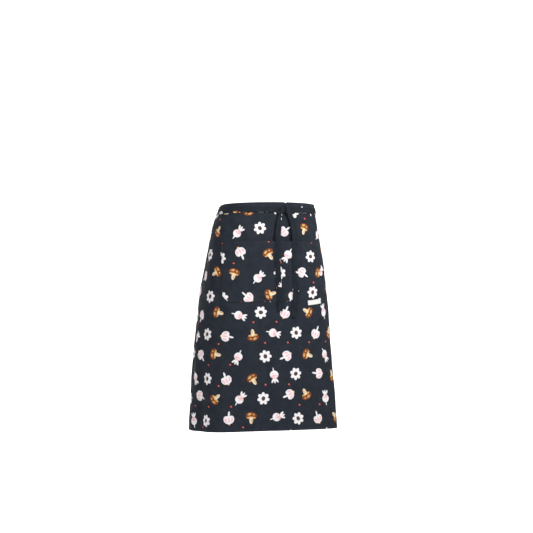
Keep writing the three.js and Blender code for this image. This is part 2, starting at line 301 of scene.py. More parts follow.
class WornForm:
    """Surface that the cloth takes when it is worn, in three measures.

    Across runs along the cloth from the front middle line, drop runs down from the band's top edge, and lift
    stands off the surface.
    """

    TABLE_STEP = 0.002
    TABLE_DROPS = (-0.06, 0.74)
    TABLE_REACH = 0.46
    TABLE_ANGLES = 361
    TABLE_MARGIN = 1.001
    TURN_STEP = 0.01
    HEIGHT_STEP = 0.002

    def __init__(self) -> None:
        """Tabulates the angle round each section at each distance along it."""
        rows = [(s.half_width, s.half_depth, s.shift, s.squareness, s.drift) for s in SECTIONS]
        self._sections = Spline([s.drop for s in SECTIONS], rows)
        low, high = self.TABLE_DROPS
        drops = np.arange(low, high + self.TABLE_STEP, self.TABLE_STEP)
        distances = np.arange(0, self.TABLE_REACH + self.TABLE_STEP, self.TABLE_STEP)
        angles = np.linspace(0, math.pi, self.TABLE_ANGLES)
        self._angles = np.stack([np.interp(distances, self._girth(drop, angles), angles) for drop in drops])
        self.half_girth = float(self._girth(BAND_TOP, angles)[-1])

    def _girth(self, drop: float, angles: Array) -> Array:
        """Distance along the section at a drop, from the front to each angle."""
        radius = self._reach(self._sections(np.full(angles.shape, drop)), angles)
        return run_along(np.stack([radius * np.sin(angles), radius * np.cos(angles)], axis=-1))

    @staticmethod
    def _reach(section: Array, angle: Array) -> Array:
        """Distance of a section's edge from its middle.

        Args:
            section: Columns of the section.
            angle: Angles from the front, in radians.

        Returns:
            Distances of the same shape as the angles.
        """
        power = section[..., 3]
        wide = (np.abs(np.sin(angle)) / section[..., 0]) ** power
        deep = (np.abs(np.cos(angle)) / section[..., 1]) ** power
        return (wide + deep) ** (-1 / power)

    def angle_at(self, drop: Array, distance: Array) -> Array:
        """Angle round the section at a drop, at a distance along it from the front.

        Args:
            drop: Drops below the band's top edge.
            distance: Distances, positive towards +X.

        Returns:
            Angles in radians.
        """
        last_row, last_column = np.array(self._angles.shape) - self.TABLE_MARGIN
        row = np.clip((drop - self.TABLE_DROPS[0]) / self.TABLE_STEP, 0, last_row)
        column = np.clip(np.abs(distance) / self.TABLE_STEP, 0, last_column)
        r, c = row.astype(int), column.astype(int)
        down, along = row - r, column - c
        near = self._angles[r, c] * (1 - along) + self._angles[r, c + 1] * along
        far = self._angles[r + 1, c] * (1 - along) + self._angles[r + 1, c + 1] * along
        return np.sign(distance) * (near * (1 - down) + far * down)

    def _skin(self, angle: Array, height: Array) -> Array:
        """Points of the surface.

        Args:
            angle: Angles from the front, in radians.
            height: Heights above the waist.

        Returns:
            Points, along a new last axis.
        """
        section = self._sections(BAND_TOP - height)
        radius = self._reach(section, angle)
        return np.stack([radius * np.sin(angle) + section[..., 2], -radius * np.cos(angle), height], axis=-1)

    def lifted(self, angle: Array, height: Array, lift: Array) -> Array:
        """Points that stand off the surface along its normal.

        Args:
            angle: Angles from the front, in radians.
            height: Heights above the waist.
            lift: Distances off the surface.

        Returns:
            Points, along a new last axis.
        """
        angle, height, lift = np.broadcast_arrays(angle, height, lift)
        turned = self._skin(angle + self.TURN_STEP, height) - self._skin(angle - self.TURN_STEP, height)
        raised = self._skin(angle, height + self.HEIGHT_STEP) - self._skin(angle, height - self.HEIGHT_STEP)
        return self._skin(angle, height) + unit(np.cross(turned, raised)) * lift[..., None]

    def dip(self, across: Array) -> Array:
        """How far the band's edge has dropped at a distance round the waist."""
        return BACK_DIP / 2 * (1 - np.cos(math.pi * across / self.half_girth))

    @staticmethod
    def relief(across: Array, drop: Array) -> Array:
        """Lift of the folds, creases and uneven hang.

        Args:
            across: Places along the cloth.
            drop: Drops below the band's top edge.

        Returns:
            Lifts of the same shape.
        """
        hanging = sum(fold.depth * bell(across - fold.across, fold.width) for fold in FOLDS)
        lift = np.zeros(np.broadcast(across, drop).shape)
        for crease in CREASES:
            turn = math.radians(crease.turn)
            side, down = across - crease.across, drop - crease.drop
            along = (side * math.sin(turn) + down * math.cos(turn)) / crease.length
            over = (side * math.cos(turn) - down * math.sin(turn)) / crease.width
            lift += crease.depth * np.exp(-along * along - over * over)
        places = np.stack(np.broadcast_arrays(across, drop), axis=-1).reshape(-1, 2)
        for length, depth in WAVES:
            wave = [depth * noise.noise(Vector((u / length, v / length, length))) for u, v in places]
            lift += np.reshape(wave, lift.shape)
        hung = hanging * smoothstep(drop, FOLD_START, LENGTH)
        return lift * smoothstep(drop, HANG_START, HANG_FULL) + hung

    def cloth(self, across: Values, drop: Values, lift: Values) -> Array:
        """Points of the worn cloth.

        Args:
            across: Places along the cloth from the front middle line.
            drop: Drops below the band's top edge.
            lift: Distances off the form.

        Returns:
            Points, along a new last axis.
        """
        across, drop, lift = np.broadcast_arrays(across, drop, lift)
        side, down = (across - HITCH_ACROSS) / HITCH_WIDTH, (drop - HITCH_DROP) / HITCH_HEIGHT
        hitch = HITCH_RISE * np.exp(-side * side - down * down)
        dipped = self.dip(across) * (1 - (1 - HEM_DIP_SHARE) * drop / LENGTH)
        height = BAND_TOP - drop - dipped + hitch
        drift = self._sections(BAND_TOP - height)[..., 4]
        angle = self.angle_at(BAND_TOP - height, across + drift)
        return self.lifted(angle, height, lift + self.relief(across, drop))

    def band(self, around: Array, height: Array, lift: Array) -> Array:
        """Points on the waist at distances round it.

        Args:
            around: Distances from the front, positive towards +X, which may run on past the back.
            height: Heights above the band's middle line.
            lift: Distances off the form.

        Returns:
            Points, along a new last axis.
        """
        around, height, lift = np.broadcast_arrays(around, height, lift)
        wrapped = (around + self.half_girth) % (2 * self.half_girth) - self.half_girth
        angle = self.angle_at(np.full(wrapped.shape, BAND_TOP), wrapped)
        return self.lifted(angle, height - self.dip(wrapped), lift)


@dataclass(frozen=True)
class Lines:
    """Grid lines along one direction of a sheet.

    Flat is measured along the cut cloth and place along the worn cloth. Turn goes from 0 on the face to 1 on
    what is turned under.
    """

    flat: Array
    place: Array
    turn: Array

    def reversed(self) -> "Lines":
        """The same lines in the other order."""
        return Lines(self.flat[::-1], self.place[::-1], self.turn[::-1])


# Close lines on both sides of a seam, and the steps of the turn at a folded edge
SEAM_OFFSETS = np.array([-5.0, -2.6, -1.2, 0.0, 1.2, 2.6, 5.0]) * 0.001
FOLD_TURNS = np.linspace(0, 1, 7)[1:-1]


def ruled(start: float, end: float, step: float, seams: Sequence[float] = ()) -> Array:
    """Rules lines that stand closer together beside seams.

    Args:
        start: First line.
        end: Last line.
        step: Spacing away from seams.
        seams: Places of the seams.

    Returns:
        The lines in rising order.
    """
    lines = np.linspace(start, end, max(1, round((end - start) / step)) + 1)
    for seam in seams:
        lines = lines[np.abs(lines - seam) > SEAM_OFFSETS[-1] + step / 3]
        lines = np.concatenate([lines, seam + SEAM_OFFSETS])
    inside = lines[(lines > start + LEAST_SPACING) & (lines < end - LEAST_SPACING)]
    return np.concatenate([[start], np.unique(np.round(inside, LINE_DIGITS)), [end]])


def hemmed(lines: Array, low_hem: float, high_hem: float) -> Lines:
    """Turns the ends of a sheet under.

    Args:
        lines: Lines of the face, from edge to edge.
        low_hem: Width turned under at the first line, or 0.
        high_hem: Width turned under at the last line, or 0.

    Returns:
        The lines of the face with those of its hems.
    """
    radius = LAYER / 2
    face = lines.copy()
    flat, place, turn = [face], [face], [np.zeros(len(face))]
    for hem, edge, way in ((low_hem, lines[0], -1), (high_hem, lines[-1], 1)):
        if not hem:
            continue
        face[-1 if way > 0 else 0] = edge - way * radius
        under = np.linspace(0, hem, max(1, round(hem / HEM_STEP)) + 1)
        beyond = np.concatenate([FOLD_TURNS * math.pi * radius, math.pi * radius + under])
        back = np.concatenate([radius * np.sin(math.pi * FOLD_TURNS), -under])
        turned = np.concatenate([FOLD_TURNS, np.ones(len(under))])
        order = slice(None, None, way)
        where = len(flat) if way > 0 else 0
        flat.insert(where, (edge + way * beyond)[order])
        place.insert(where, (edge + way * (back - radius))[order])
        turn.insert(where, turned[order])
    return Lines(np.concatenate(flat), np.concatenate(place), np.concatenate(turn))


@dataclass(frozen=True)
class Seam:
    """How a row of stitches draws the cloth in: a groove along it and small uneven puckers across it."""

    groove: float = 0.00022
    groove_width: float = 0.0016
    pucker: float = 0.0008
    pucker_length: float = 0.019
    pucker_width: float = 0.009
    uneven: float = 3.0
    uneven_length: float = 0.045

    def draw(self, off: Values, along: Values) -> Array:
        """Lift that a seam gives the cloth.

        Args:
            off: Distances from the row.
            along: Distances along the row.

        Returns:
            Lifts of the same shape.
        """
        uneven = self.uneven * np.sin(along / self.uneven_length)
        wave = np.sin(2 * math.pi * along / self.pucker_length + uneven)
        drawn = self.pucker * (1 + wave) / 2 * bell(off, self.pucker_width)
        return drawn - self.groove * bell(off, self.groove_width)


SEAM = Seam()


def select_only(piece: Piece) -> None:
    """Makes one object the only selected and active one.

    Args:
        piece: The object.
    """
    bpy.ops.object.select_all(action="DESELECT")
    piece.select_set(True)
    bpy.context.view_layer.objects.active = piece


@contextmanager
def editing(piece: Piece) -> Iterator[None]:
    """Opens a piece in edit mode with all of it selected, and closes it again.

    Args:
        piece: The piece.

    Yields:
        Nothing.
    """
    select_only(piece)
    bpy.ops.object.mode_set(mode="EDIT")
    bpy.ops.mesh.select_all(action="SELECT")
    yield
    bpy.ops.object.mode_set(mode="OBJECT")


def weave(name: str, points: Array, flat: Array, wear: Array | None = None) -> Piece:
    """Shapes a grid into a cloth and maps the cut cloth onto it.

    Args:
        name: Name of the new piece.
        points: A place for each vertex, by row and by column.
        flat: Each vertex's place on the cut cloth.
        wear: How worn the cloth is at each vertex, from 0 to 1, or None for not at all.

    Returns:
        The new piece.
    """
    rows, columns = points.shape[:2]
    bpy.ops.object.select_all(action="DESELECT")
    bpy.ops.mesh.primitive_grid_add(x_subdivisions=columns - 1, y_subdivisions=rows - 1, size=1)
    piece = bpy.context.object
    mesh = piece.data
    piece.name = mesh.name = name
    mesh.vertices.foreach_set("co", points.reshape(-1).astype(np.float32))
    corners = np.empty(len(mesh.loops), np.int32)
    mesh.loops.foreach_get("vertex_index", corners)
    layer = mesh.uv_layers[0]
    layer.name = FLAT_MAP
    layer.data.foreach_set("uv", flat.reshape(-1, 2)[corners].reshape(-1).astype(np.float32))
    shares = np.zeros(len(mesh.vertices)) if wear is None else wear.reshape(-1)
    attribute = mesh.attributes.new(EDGE_WEAR, "FLOAT", "POINT")
    attribute.data.foreach_set("value", shares.astype(np.float32))
    mesh.update()
    return piece


def thicken(piece: Piece, thickness: float, *finishes: Material) -> None:
    """Dresses a sheet and gives it its thickness.

    Args:
        piece: The sheet.
        thickness: Thickness of its ply.
        *finishes: Finish of its face, and of its reverse where that differs.
    """
    for finish in finishes:
        piece.data.materials.append(finish)
    select_only(piece)
    solid = piece.modifiers.new("ply", "SOLIDIFY")
    solid.thickness = thickness
    solid.offset = 0
    solid.material_offset = 1
    bpy.ops.object.modifier_apply(modifier=solid.name)
    bpy.ops.object.shade_smooth_by_angle(angle=SHEET_SMOOTH)


def close_tube(piece: Piece) -> None:
    """Joins the long edges of a rolled grid, closes its ends and turns its faces outwards.

    Args:
        piece: The rolled grid.
    """
    with editing(piece):
        bpy.ops.mesh.remove_doubles(threshold=MERGE_WITHIN)
        bpy.ops.mesh.fill_holes(sides=0)
        bpy.ops.mesh.select_all(action="SELECT")
        bpy.ops.mesh.normals_make_consistent(inside=False)
    bpy.ops.object.shade_smooth_by_angle(angle=STRAP_SMOOTH)


def join_frame(piece: Piece, slot: str, *nodes: str) -> Piece:
    """Makes a piece ride on the apron's body and stand for its nodes.

    Args:
        piece: The finished piece.
        slot: The record's material slot; not used.
        *nodes: Nodes of the frame that the piece stands for.

    Returns:
        The same piece.
    """
    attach(piece, BODY)
    if nodes:
        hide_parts(*nodes)
    LOG.info("%s: %d faces", piece.name, len(piece.data.polygons))
    return piece


class Shader:
    """A material's nodes, with short calls for the kinds that the finishes use."""

    # Sockets of a mix of two colours: its share, its first and its second colour, and its result
    MIX_INPUTS = (0, 6, 7)
    MIX_OUTPUT = 2

    def __init__(self, name: str) -> None:
        """Makes a material with one principled surface.

        Args:
            name: Name of the material.
        """
        self.material = bpy.data.materials.new(name)
        self.material.use_nodes = True
        self.nodes = self.material.node_tree.nodes
        self.links = self.material.node_tree.links
        self.surface = self.nodes["Principled BSDF"]

    def feed(self, socket: Socket, value: object) -> None:
        """Links a socket to another one, or sets its value.

        Args:
            socket: The socket to feed.
            value: Another socket, or a plain value.
        """
        if isinstance(value, Socket):
            self.links.new(value, socket)
        else:
            socket.default_value = value

    def add(self, kind: str, *values: object, **settings: object) -> bpy.types.ShaderNode:
        """Adds a node.

        Args:
            kind: Blender's name for the node's kind.
            *values: What its first sockets are fed with.
            **settings: Properties of the node.

        Returns:
            The node.
        """
        node = self.nodes.new(kind)
        for name, value in settings.items():
            setattr(node, name, value)
        for socket, value in zip(node.inputs, values):
            self.feed(socket, value)
        return node

    def feed_named(self, node: bpy.types.ShaderNode, **values: object) -> None:
        """Feeds a node's sockets by name, with low lines for the spaces in a name."""
        for name, value in values.items():
            self.feed(node.inputs[name.replace("_", " ")], value)

    def dress(self, **values: object) -> None:
        """Feeds the surface's sockets by name."""
        self.feed_named(self.surface, **values)

    def flat_place(self) -> Socket:
        """Place on the cut cloth."""
        return self.add("ShaderNodeUVMap", uv_map=FLAT_MAP).outputs[0]

    def object_place(self) -> Socket:
        """Place in the object's own space."""
        return self.add("ShaderNodeTexCoord").outputs["Object"]

    def split(self, place: Socket) -> Sequence[Socket]:
        """The three numbers of a place."""
        return self.add("ShaderNodeSeparateXYZ", place).outputs

    def math(self, operation: str, *values: object) -> Socket:
        """Result of an operation on numbers."""
        return self.add("ShaderNodeMath", *values, operation=operation).outputs[0]

    def sine(self, value: Socket, factor: float) -> Socket:
        """Sine of a number times a factor."""
        return self.math("SINE", self.math("MULTIPLY", value, factor))

    def vector(self, operation: str, *values: object) -> bpy.types.ShaderNode:
        """Node of an operation on vectors."""
        return self.add("ShaderNodeVectorMath", *values, operation=operation)

    def length(self, place: Socket) -> Socket:
        """Distance of a place from the origin."""
        return self.vector("LENGTH", place).outputs["Value"]

    def combine(self, x: Socket, y: Socket) -> Socket:
        """Vector made of two numbers."""
        return self.add("ShaderNodeCombineXYZ", x, y).outputs[0]

    def mix(self, share: object, first: object, second: object) -> Socket:
        """Mixes two colours.

        Args:
            share: Share of the second colour.
            first: First colour.
            second: Second colour.

        Returns:
            The mixed colour.
        """
        node = self.add("ShaderNodeMix", data_type="RGBA")
        for index, value in zip(self.MIX_INPUTS, (share, first, second)):
            self.feed(node.inputs[index], value)
        return node.outputs[self.MIX_OUTPUT]

    def ramp(self, value: Socket, start: float, end: float) -> Socket:
        """Eased number that goes from 0 at start to 1 at end."""
        node = self.add("ShaderNodeMapRange", value, start, end, interpolation_type="SMOOTHSTEP")
        return node.outputs[0]

    def mapped(self, place: Socket, kind: str = "POINT", **values: object) -> Socket:
        """Moves, turns or scales a place.

        Args:
            place: The place.
            kind: Blender's name for the way of mapping.
            **values: What the mapping's other sockets are fed with, by name.

        Returns:
            The mapped place.
        """
        node = self.add("ShaderNodeMapping", place, vector_type=kind)
        self.feed_named(node, **values)
        return node.outputs[0]

    def cloud(self, place: Socket, scale: float, detail: float = 2.0, output: int | str = 0) -> Socket:
        """Cloudy noise about one half.

        Args:
            place: Where it is read.
            scale: Clouds in a metre.
            detail: Levels of finer clouds in it.
            output: Which output is wanted: the number, or the colour by its name.

        Returns:
            The noise.
        """
        node = self.add("ShaderNodeTexNoise")
        self.feed_named(node, Vector=place, Scale=scale, Detail=detail)
        return node.outputs[output]

    def bump(self, height: Socket, strength: float, distance: float) -> None:
        """Roughens the surface.

        Args:
            height: Height of the roughness, from 0 to 1.
            strength: Share of it that shows.
            distance: Its depth.
        """
        node = self.add("ShaderNodeBump")
        self.feed_named(node, Height=height, Strength=strength, Distance=distance)
        self.dress(Normal=node.outputs[0])


class Paint(Enum):
    """Inks of the print."""

    WHITE = linear(240, 236, 238)
    PINK = linear(240, 196, 200)
    BROWN = linear(128, 70, 40)
    TAN = linear(212, 164, 106)
    CREAM = linear(234, 216, 186)
    DARK = linear(78, 64, 64)
    CORAL = linear(222, 98, 82)


@dataclass(frozen=True)
class Dab:
    """One printed oval of a motif, in millimetres from the motif's middle, turned in degrees."""

    x: float
    y: float
    wide: float
    tall: float
    turn: float
    paint: Paint


def petals(count: int, reach: float, wide: float, tall: float) -> tuple[Dab, ...]:
    """Rings ovals about a middle.

    Args:
        count: Number of petals.
        reach: Distance of each petal's middle.
        wide: Half width across the petal.
        tall: Half length along the petal.

    Returns:
        The petals.
    """
    ring = []
    for index in range(count):
        turn = 360 * index / count
        x, y = -math.sin(math.radians(turn)), math.cos(math.radians(turn))
        ring.append(Dab(reach * x, reach * y, wide, tall, turn, Paint.WHITE))
    return tuple(ring)


GARLIC = (
    Dab(1.5, 17, 3.4, 10, -8, Paint.WHITE),
    Dab(-8, -3, 10, 14, 14, Paint.WHITE),
    Dab(8, -3, 10, 14, -14, Paint.WHITE),
    Dab(0, -4, 9, 16, 0, Paint.WHITE),
    Dab(-11, -4, 3.4, 8.5, 16, Paint.PINK),
    Dab(11, -4, 3.4, 8.5, -16, Paint.PINK),
    Dab(0, -5, 3, 10, 0, Paint.PINK),
    Dab(0, -20.5, 4, 1.8, 0, Paint.TAN),
)
MUSHROOM = (
    Dab(0, -11, 6.4, 12, 0, Paint.CREAM),
    Dab(2.6, -12, 1.8, 8, 0, Paint.TAN),
    Dab(0, 6, 20, 13, 0, Paint.BROWN),
    Dab(0, -1.5, 16, 4.6, 0, Paint.TAN),
    Dab(0, -3.5, 6.6, 4.4, 0, Paint.CREAM),
    Dab(-6, 11, 7, 4, 18, Paint.TAN),
    Dab(8.5, 10, 3.6, 2.8, -20, Paint.TAN),
)
TURNIP = (
    Dab(-7, 18, 3.6, 9, 30, Paint.WHITE),
    Dab(7, 18, 3.6, 9, -30, Paint.WHITE),
    Dab(0, 19, 3.2, 9, 0, Paint.WHITE),
    Dab(1, -20, 2, 8, 6, Paint.WHITE),
    Dab(0, -3, 15, 14, 0, Paint.WHITE),
    Dab(0, 4, 12.6, 6.6, 0, Paint.PINK),
    Dab(-5, 5, 2.6, 3.4, 24, Paint.WHITE),
    Dab(5, -7, 5.4, 1, -8, Paint.PINK),
)
BLOSSOM = petals(7, 13.5, 6.4, 9) + (
    Dab(0, 0, 11, 10.5, 0, Paint.WHITE),
    Dab(0, 0, 8, 6.8, 20, Paint.DARK),
    Dab(2.4, 1.6, 2.2, 1.4, 20, Paint.BROWN),
    Dab(-2.6, -1.4, 1.6, 1.2, 20, Paint.BROWN),
)
MOTIFS = (GARLIC, MUSHROOM, TURNIP, BLOSSOM)


@dataclass(frozen=True)
class PrintedCloth:
    """Dark twill with a tossed kitchen-garden print. Strength is the share of the ink that shows."""

    name: str
    strength: float
    ground: Colour
    paling: Colour = (1.4, 1.4, 1.36, 1.0)
    cell_width: float = 0.072
    cell_height: float = 0.064
    jitter: float = 0.016
    motif_scale: float = 0.86
    wobble: float = 0.0014
    wobble_grain: float = 130
    ink_edge: float = 0.35
    dot_radius: float = 0.0030
    dot_core: float = 0.8
    dot_share: float = 0.36
    yarn: float = 0.00062
    yarn_height: float = 0.00012
    yarn_strength: float = 0.35
    scuff: Colour = linear(150, 152, 156)
    scuff_share: float = 0.045
    scuff_grain: float = 900
    scuff_contrast: Pair = (0.42, 0.62)
    rough_grain: float = 60
    rough_range: float = 0.16
    rough_least: float = 0.74
    yarn_dip: float = 0.18
    dye_grain: float = 38
    dye_share: float = 0.55
    slub_grain: tuple[float, float, float] = (60, 900, 1)
    slub_share: float = 0.45
    ground_contrast: Pair = (0.35, 0.68)
    motif_step: float = 2.0
    same_within: float = 0.1

    def material(self) -> Material:
        """Builds the finish.

        Returns:
            The material.
        """
        shader = Shader(self.name)
        place = shader.flat_place()
        colour = self._print(shader, place, self._ground(shader, place))
        wear = shader.add("ShaderNodeAttribute", attribute_name=EDGE_WEAR).outputs["Fac"]
        grain = shader.ramp(shader.cloud(place, self.scuff_grain), *self.scuff_contrast)
        scuffed = shader.math("MULTIPLY", shader.math("MULTIPLY", wear, grain), self.scuff_share)
        uneven = shader.cloud(place, self.rough_grain)
        rough = shader.math("MULTIPLY_ADD", uneven, self.rough_range, self.rough_least)
        shader.dress(Base_Color=shader.mix(scuffed, colour, self.scuff), Roughness=rough)
        shader.dress(Specular_IOR_Level=0.08, Sheen_Weight=0.015, Sheen_Roughness=0.45)
        shader.bump(self._twill(shader, place), self.yarn_strength, self.yarn_height)
        return shader.material

    def _twill(self, shader: Shader, place: Socket) -> Socket:
        """Height of the twill's slanting yarns.

        Args:
            shader: The material's nodes.
            place: Place on the flat cloth.

        Returns:
            The height, from 0 to 1.
        """
        along, up, _ = shader.split(place)
        rise = shader.sine(shader.math("ADD", along, up), 2 * math.pi / self.yarn)
        fall = shader.sine(shader.math("SUBTRACT", along, up), 4 * math.pi / self.yarn)
        ridge = shader.math("MULTIPLY_ADD", rise, 0.5, 0.5)
        dipped = shader.math("MULTIPLY_ADD", fall, self.yarn_dip, 1 - self.yarn_dip)
        return shader.math("MULTIPLY", ridge, dipped)

    def _ground(self, shader: Shader, place: Socket) -> Socket:
        """Colour of the dyed cloth, with its uneven dye and slubs.

        Args:
            shader: The material's nodes.
            place: Place on the flat cloth.

        Returns:
            The colour.
        """
        pale = tuple(share * more for share, more in zip(self.ground, self.paling))
        dye = shader.math("MULTIPLY", shader.cloud(place, self.dye_grain, detail=4), self.dye_share)
        slubs = shader.cloud(shader.mapped(place, Scale=self.slub_grain), scale=1, detail=3)
        both = shader.math("MULTIPLY_ADD", slubs, self.slub_share, dye)
        return shader.mix(shader.ramp(both, *self.ground_contrast), self.ground, pale)

    def _cells(self, shader: Shader, place: Socket) -> tuple[Socket, Socket, Socket, Socket]:
        """Splits the cloth into staggered cells.

        Args:
            shader: The material's nodes.
            place: Place on the flat cloth.

        Returns:
            Column, row and the place from the cell's middle along each.
        """
        along, up, _ = shader.split(place)
        row = shader.math("FLOOR", shader.math("DIVIDE", up, self.cell_height))
        stagger = shader.math("MULTIPLY", shader.math("FLOORED_MODULO", row, 2.0), self.cell_width / 2)
        shifted = shader.math("ADD", along, stagger)
        column = shader.math("FLOOR", shader.math("DIVIDE", shifted, self.cell_width))
        middle_x = shader.math("MULTIPLY", shader.math("ADD", column, 0.5), self.cell_width)
        middle_y = shader.math("MULTIPLY", shader.math("ADD", row, 0.5), self.cell_height)
        return column, row, shader.math("SUBTRACT", shifted, middle_x), shader.math("SUBTRACT", up, middle_y)

    def _print(self, shader: Shader, place: Socket, ground: Socket) -> Socket:
        """Prints a motif in each cell, each with its own turn, and dots between them.

        Args:
            shader: The material's nodes.
            place: Place on the flat cloth.
            ground: Colour of the cloth.

        Returns:
            Colour of the printed cloth.
        """
        column, row, x, y = self._cells(shader, place)
        cell = shader.combine(column, row)
        chance = shader.add("ShaderNodeTexWhiteNoise", cell, noise_dimensions="2D").outputs["Color"]
        first, second, third = shader.add("ShaderNodeSeparateColor", chance).outputs
        aside, above = (
            shader.math("ADD", off, shader.math("MULTIPLY", shader.math("SUBTRACT", draw, 0.5), self.jitter))
            for off, draw in ((x, first), (y, second))
        )
        turned = shader.add("ShaderNodeVectorRotate", shader.combine(aside, above), rotation_type="Z_AXIS")
        shader.feed_named(turned, Angle=shader.math("MULTIPLY", third, 2 * math.pi))
        ripple = shader.cloud(place, self.wobble_grain, output="Color")
        swing = shader.vector("SCALE", shader.vector("SUBTRACT", ripple, (0.5, 0.5, 0.5)).outputs[0])
        shader.feed_named(swing, Scale=self.wobble)
        spot = shader.vector("ADD", turned.outputs[0], swing.outputs[0]).outputs[0]
        counted = shader.math("MULTIPLY_ADD", row, self.motif_step, column)
        kind = shader.math("FLOORED_MODULO", counted, float(len(MOTIFS)))
        colour = ground
        for index, motif in enumerate(MOTIFS):
            same = shader.math("COMPARE", kind, float(index), self.same_within)
            chosen = shader.math("MULTIPLY", same, self.strength)
            for dab in motif:
                colour = self._ink(shader, spot, dab, chosen, colour)
        off = shader.vector("SUBTRACT", shader.combine(x, y), self._dot_place()).outputs[0]
        dot = shader.ramp(shader.length(off), self.dot_radius, self.dot_radius * self.dot_core)
        wanted = shader.math("GREATER_THAN", first, 1 - self.dot_share)
        share = shader.math("MULTIPLY", shader.math("MULTIPLY", dot, wanted), self.strength)
        return shader.mix(share, colour, Paint.CORAL.value)

    def _dot_place(self) -> tuple[float, float, float]:
        """Place of a cell's dot, in its lower left corner."""
        inset = 2 * self.dot_radius
        return inset - self.cell_width / 2, inset - self.cell_height / 2, 0.0

    def _ink(self, shader: Shader, spot: Socket, dab: Dab, chosen: Socket, under: Socket) -> Socket:
        """Prints one oval.

        Args:
            shader: The material's nodes.
            spot: Place from the motif's middle.
            dab: The oval.
            chosen: Strength of its motif in this cell.
            under: Colour below it.

        Returns:
            Colour with the oval on it.
        """
        scale = 0.001 * self.motif_scale
        oval = shader.mapped(
            spot,
            "TEXTURE",
            Location=(dab.x * scale, dab.y * scale, 0),
            Rotation=(0, 0, math.radians(dab.turn)),
            Scale=(dab.wide * scale, dab.tall * scale, 1),
        )
        soft = self.ink_edge / min(dab.wide, dab.tall)
        inside = shader.ramp(shader.length(oval), 1 + soft, 1 - soft)
        return shader.mix(shader.math("MULTIPLY", inside, chosen), under, dab.paint.value)


@dataclass(frozen=True)
class LabelWeave:
    """Plain white woven tape with fine ribs."""

    name: str = "label_weave"
    rib: float = 0.00045
    rib_height: float = 0.00008
    rib_strength: float = 0.4
    yarn_grain: tuple[float, float, float] = (240, 2200, 1)
    contrast: Pair = (0.3, 0.7)
    dull: Colour = linear(224, 223, 220)
    bright: Colour = linear(236, 236, 233)

    def material(self) -> Material:
        """Builds the finish.

        Returns:
            The material.
        """
        shader = Shader(self.name)
        place = shader.flat_place()
        yarns = shader.cloud(shader.mapped(place, Scale=self.yarn_grain), scale=1, detail=3)
        shader.dress(Base_Color=shader.mix(shader.ramp(yarns, *self.contrast), self.dull, self.bright))
        shader.dress(Roughness=0.62, Specular_IOR_Level=0.3, Sheen_Weight=0.1, Sheen_Roughness=0.4)
        along, up, _ = shader.split(place)
        warp = shader.sine(along, 2 * math.pi / self.rib)
        weft = shader.sine(up, 4 * math.pi / self.rib)
        shader.bump(shader.math("MULTIPLY", warp, weft), self.rib_strength, self.rib_height)
        return shader.material


@dataclass(frozen=True)
class Thread:
    """Dark sewing thread, twisted from strands."""

    name: str = "sewing_thread"
    twist: float = 0.0006
    twist_height: float = 0.00006
    twist_strength: float = 0.3
    grain: float = 700
    contrast: Pair = (0.3, 0.7)
    dark: Colour = linear(30, 33, 40)
    light: Colour = linear(54, 58, 66)

    def material(self) -> Material:
        """Builds the finish.

        Returns:
            The material.
        """
        shader = Shader(self.name)
        place = shader.object_place()
        shade = shader.ramp(shader.cloud(place, self.grain), *self.contrast)
        shader.dress(Base_Color=shader.mix(shade, self.dark, self.light))
        shader.dress(Roughness=0.5, Specular_IOR_Level=0.35)
        x, y, z = shader.split(place)
        run = shader.math("ADD", shader.math("ADD", x, y), z)
        shader.bump(shader.sine(run, 2 * math.pi / self.twist), self.twist_strength, self.twist_height)
        return shader.material


@dataclass(frozen=True)
class Backdrop:
    """Plain pale studio paper."""

    name: str = "studio_paper"
    grain: float = 1.5
    dull: Colour = linear(251, 251, 251)
    bright: Colour = linear(254, 254, 254)

    def material(self) -> Material:
        """Builds the finish.

        Returns:
            The material.
        """
        shader = Shader(self.name)
        tone = shader.cloud(shader.object_place(), self.grain)
        shader.dress(Base_Color=shader.mix(tone, self.dull, self.bright))
        shader.dress(Roughness=0.9, Specular_IOR_Level=0.1)
        return shader.material


@dataclass(frozen=True)
class Wardrobe:
    """The finishes that the pieces share."""

    face: Material
    reverse: Material
    # Ties and knot: the face's print on a darker ground, and that darker ground is painted shade
    strap: Material
    label: Material
    thread: Material

    @staticmethod
    def make() -> "Wardrobe":
        """Builds every finish once.

        Returns:
            The finishes.
        """
        face = PrintedCloth("printed_cloth", 1.0, linear(37, 41, 49))
        reverse = PrintedCloth("printed_cloth_reverse", 0.05, linear(44, 47, 54))
        # The straps' ground is the face's ground about a quarter darker: painted shade standing for the
        # shade on the rolled ties and their knot
        strap = PrintedCloth("printed_cloth_strap_painted_shade", 1.0, linear(32, 36, 43))
        cloths = [cloth.material() for cloth in (face, reverse, strap)]
        return Wardrobe(*cloths, LabelWeave().material(), Thread().material())


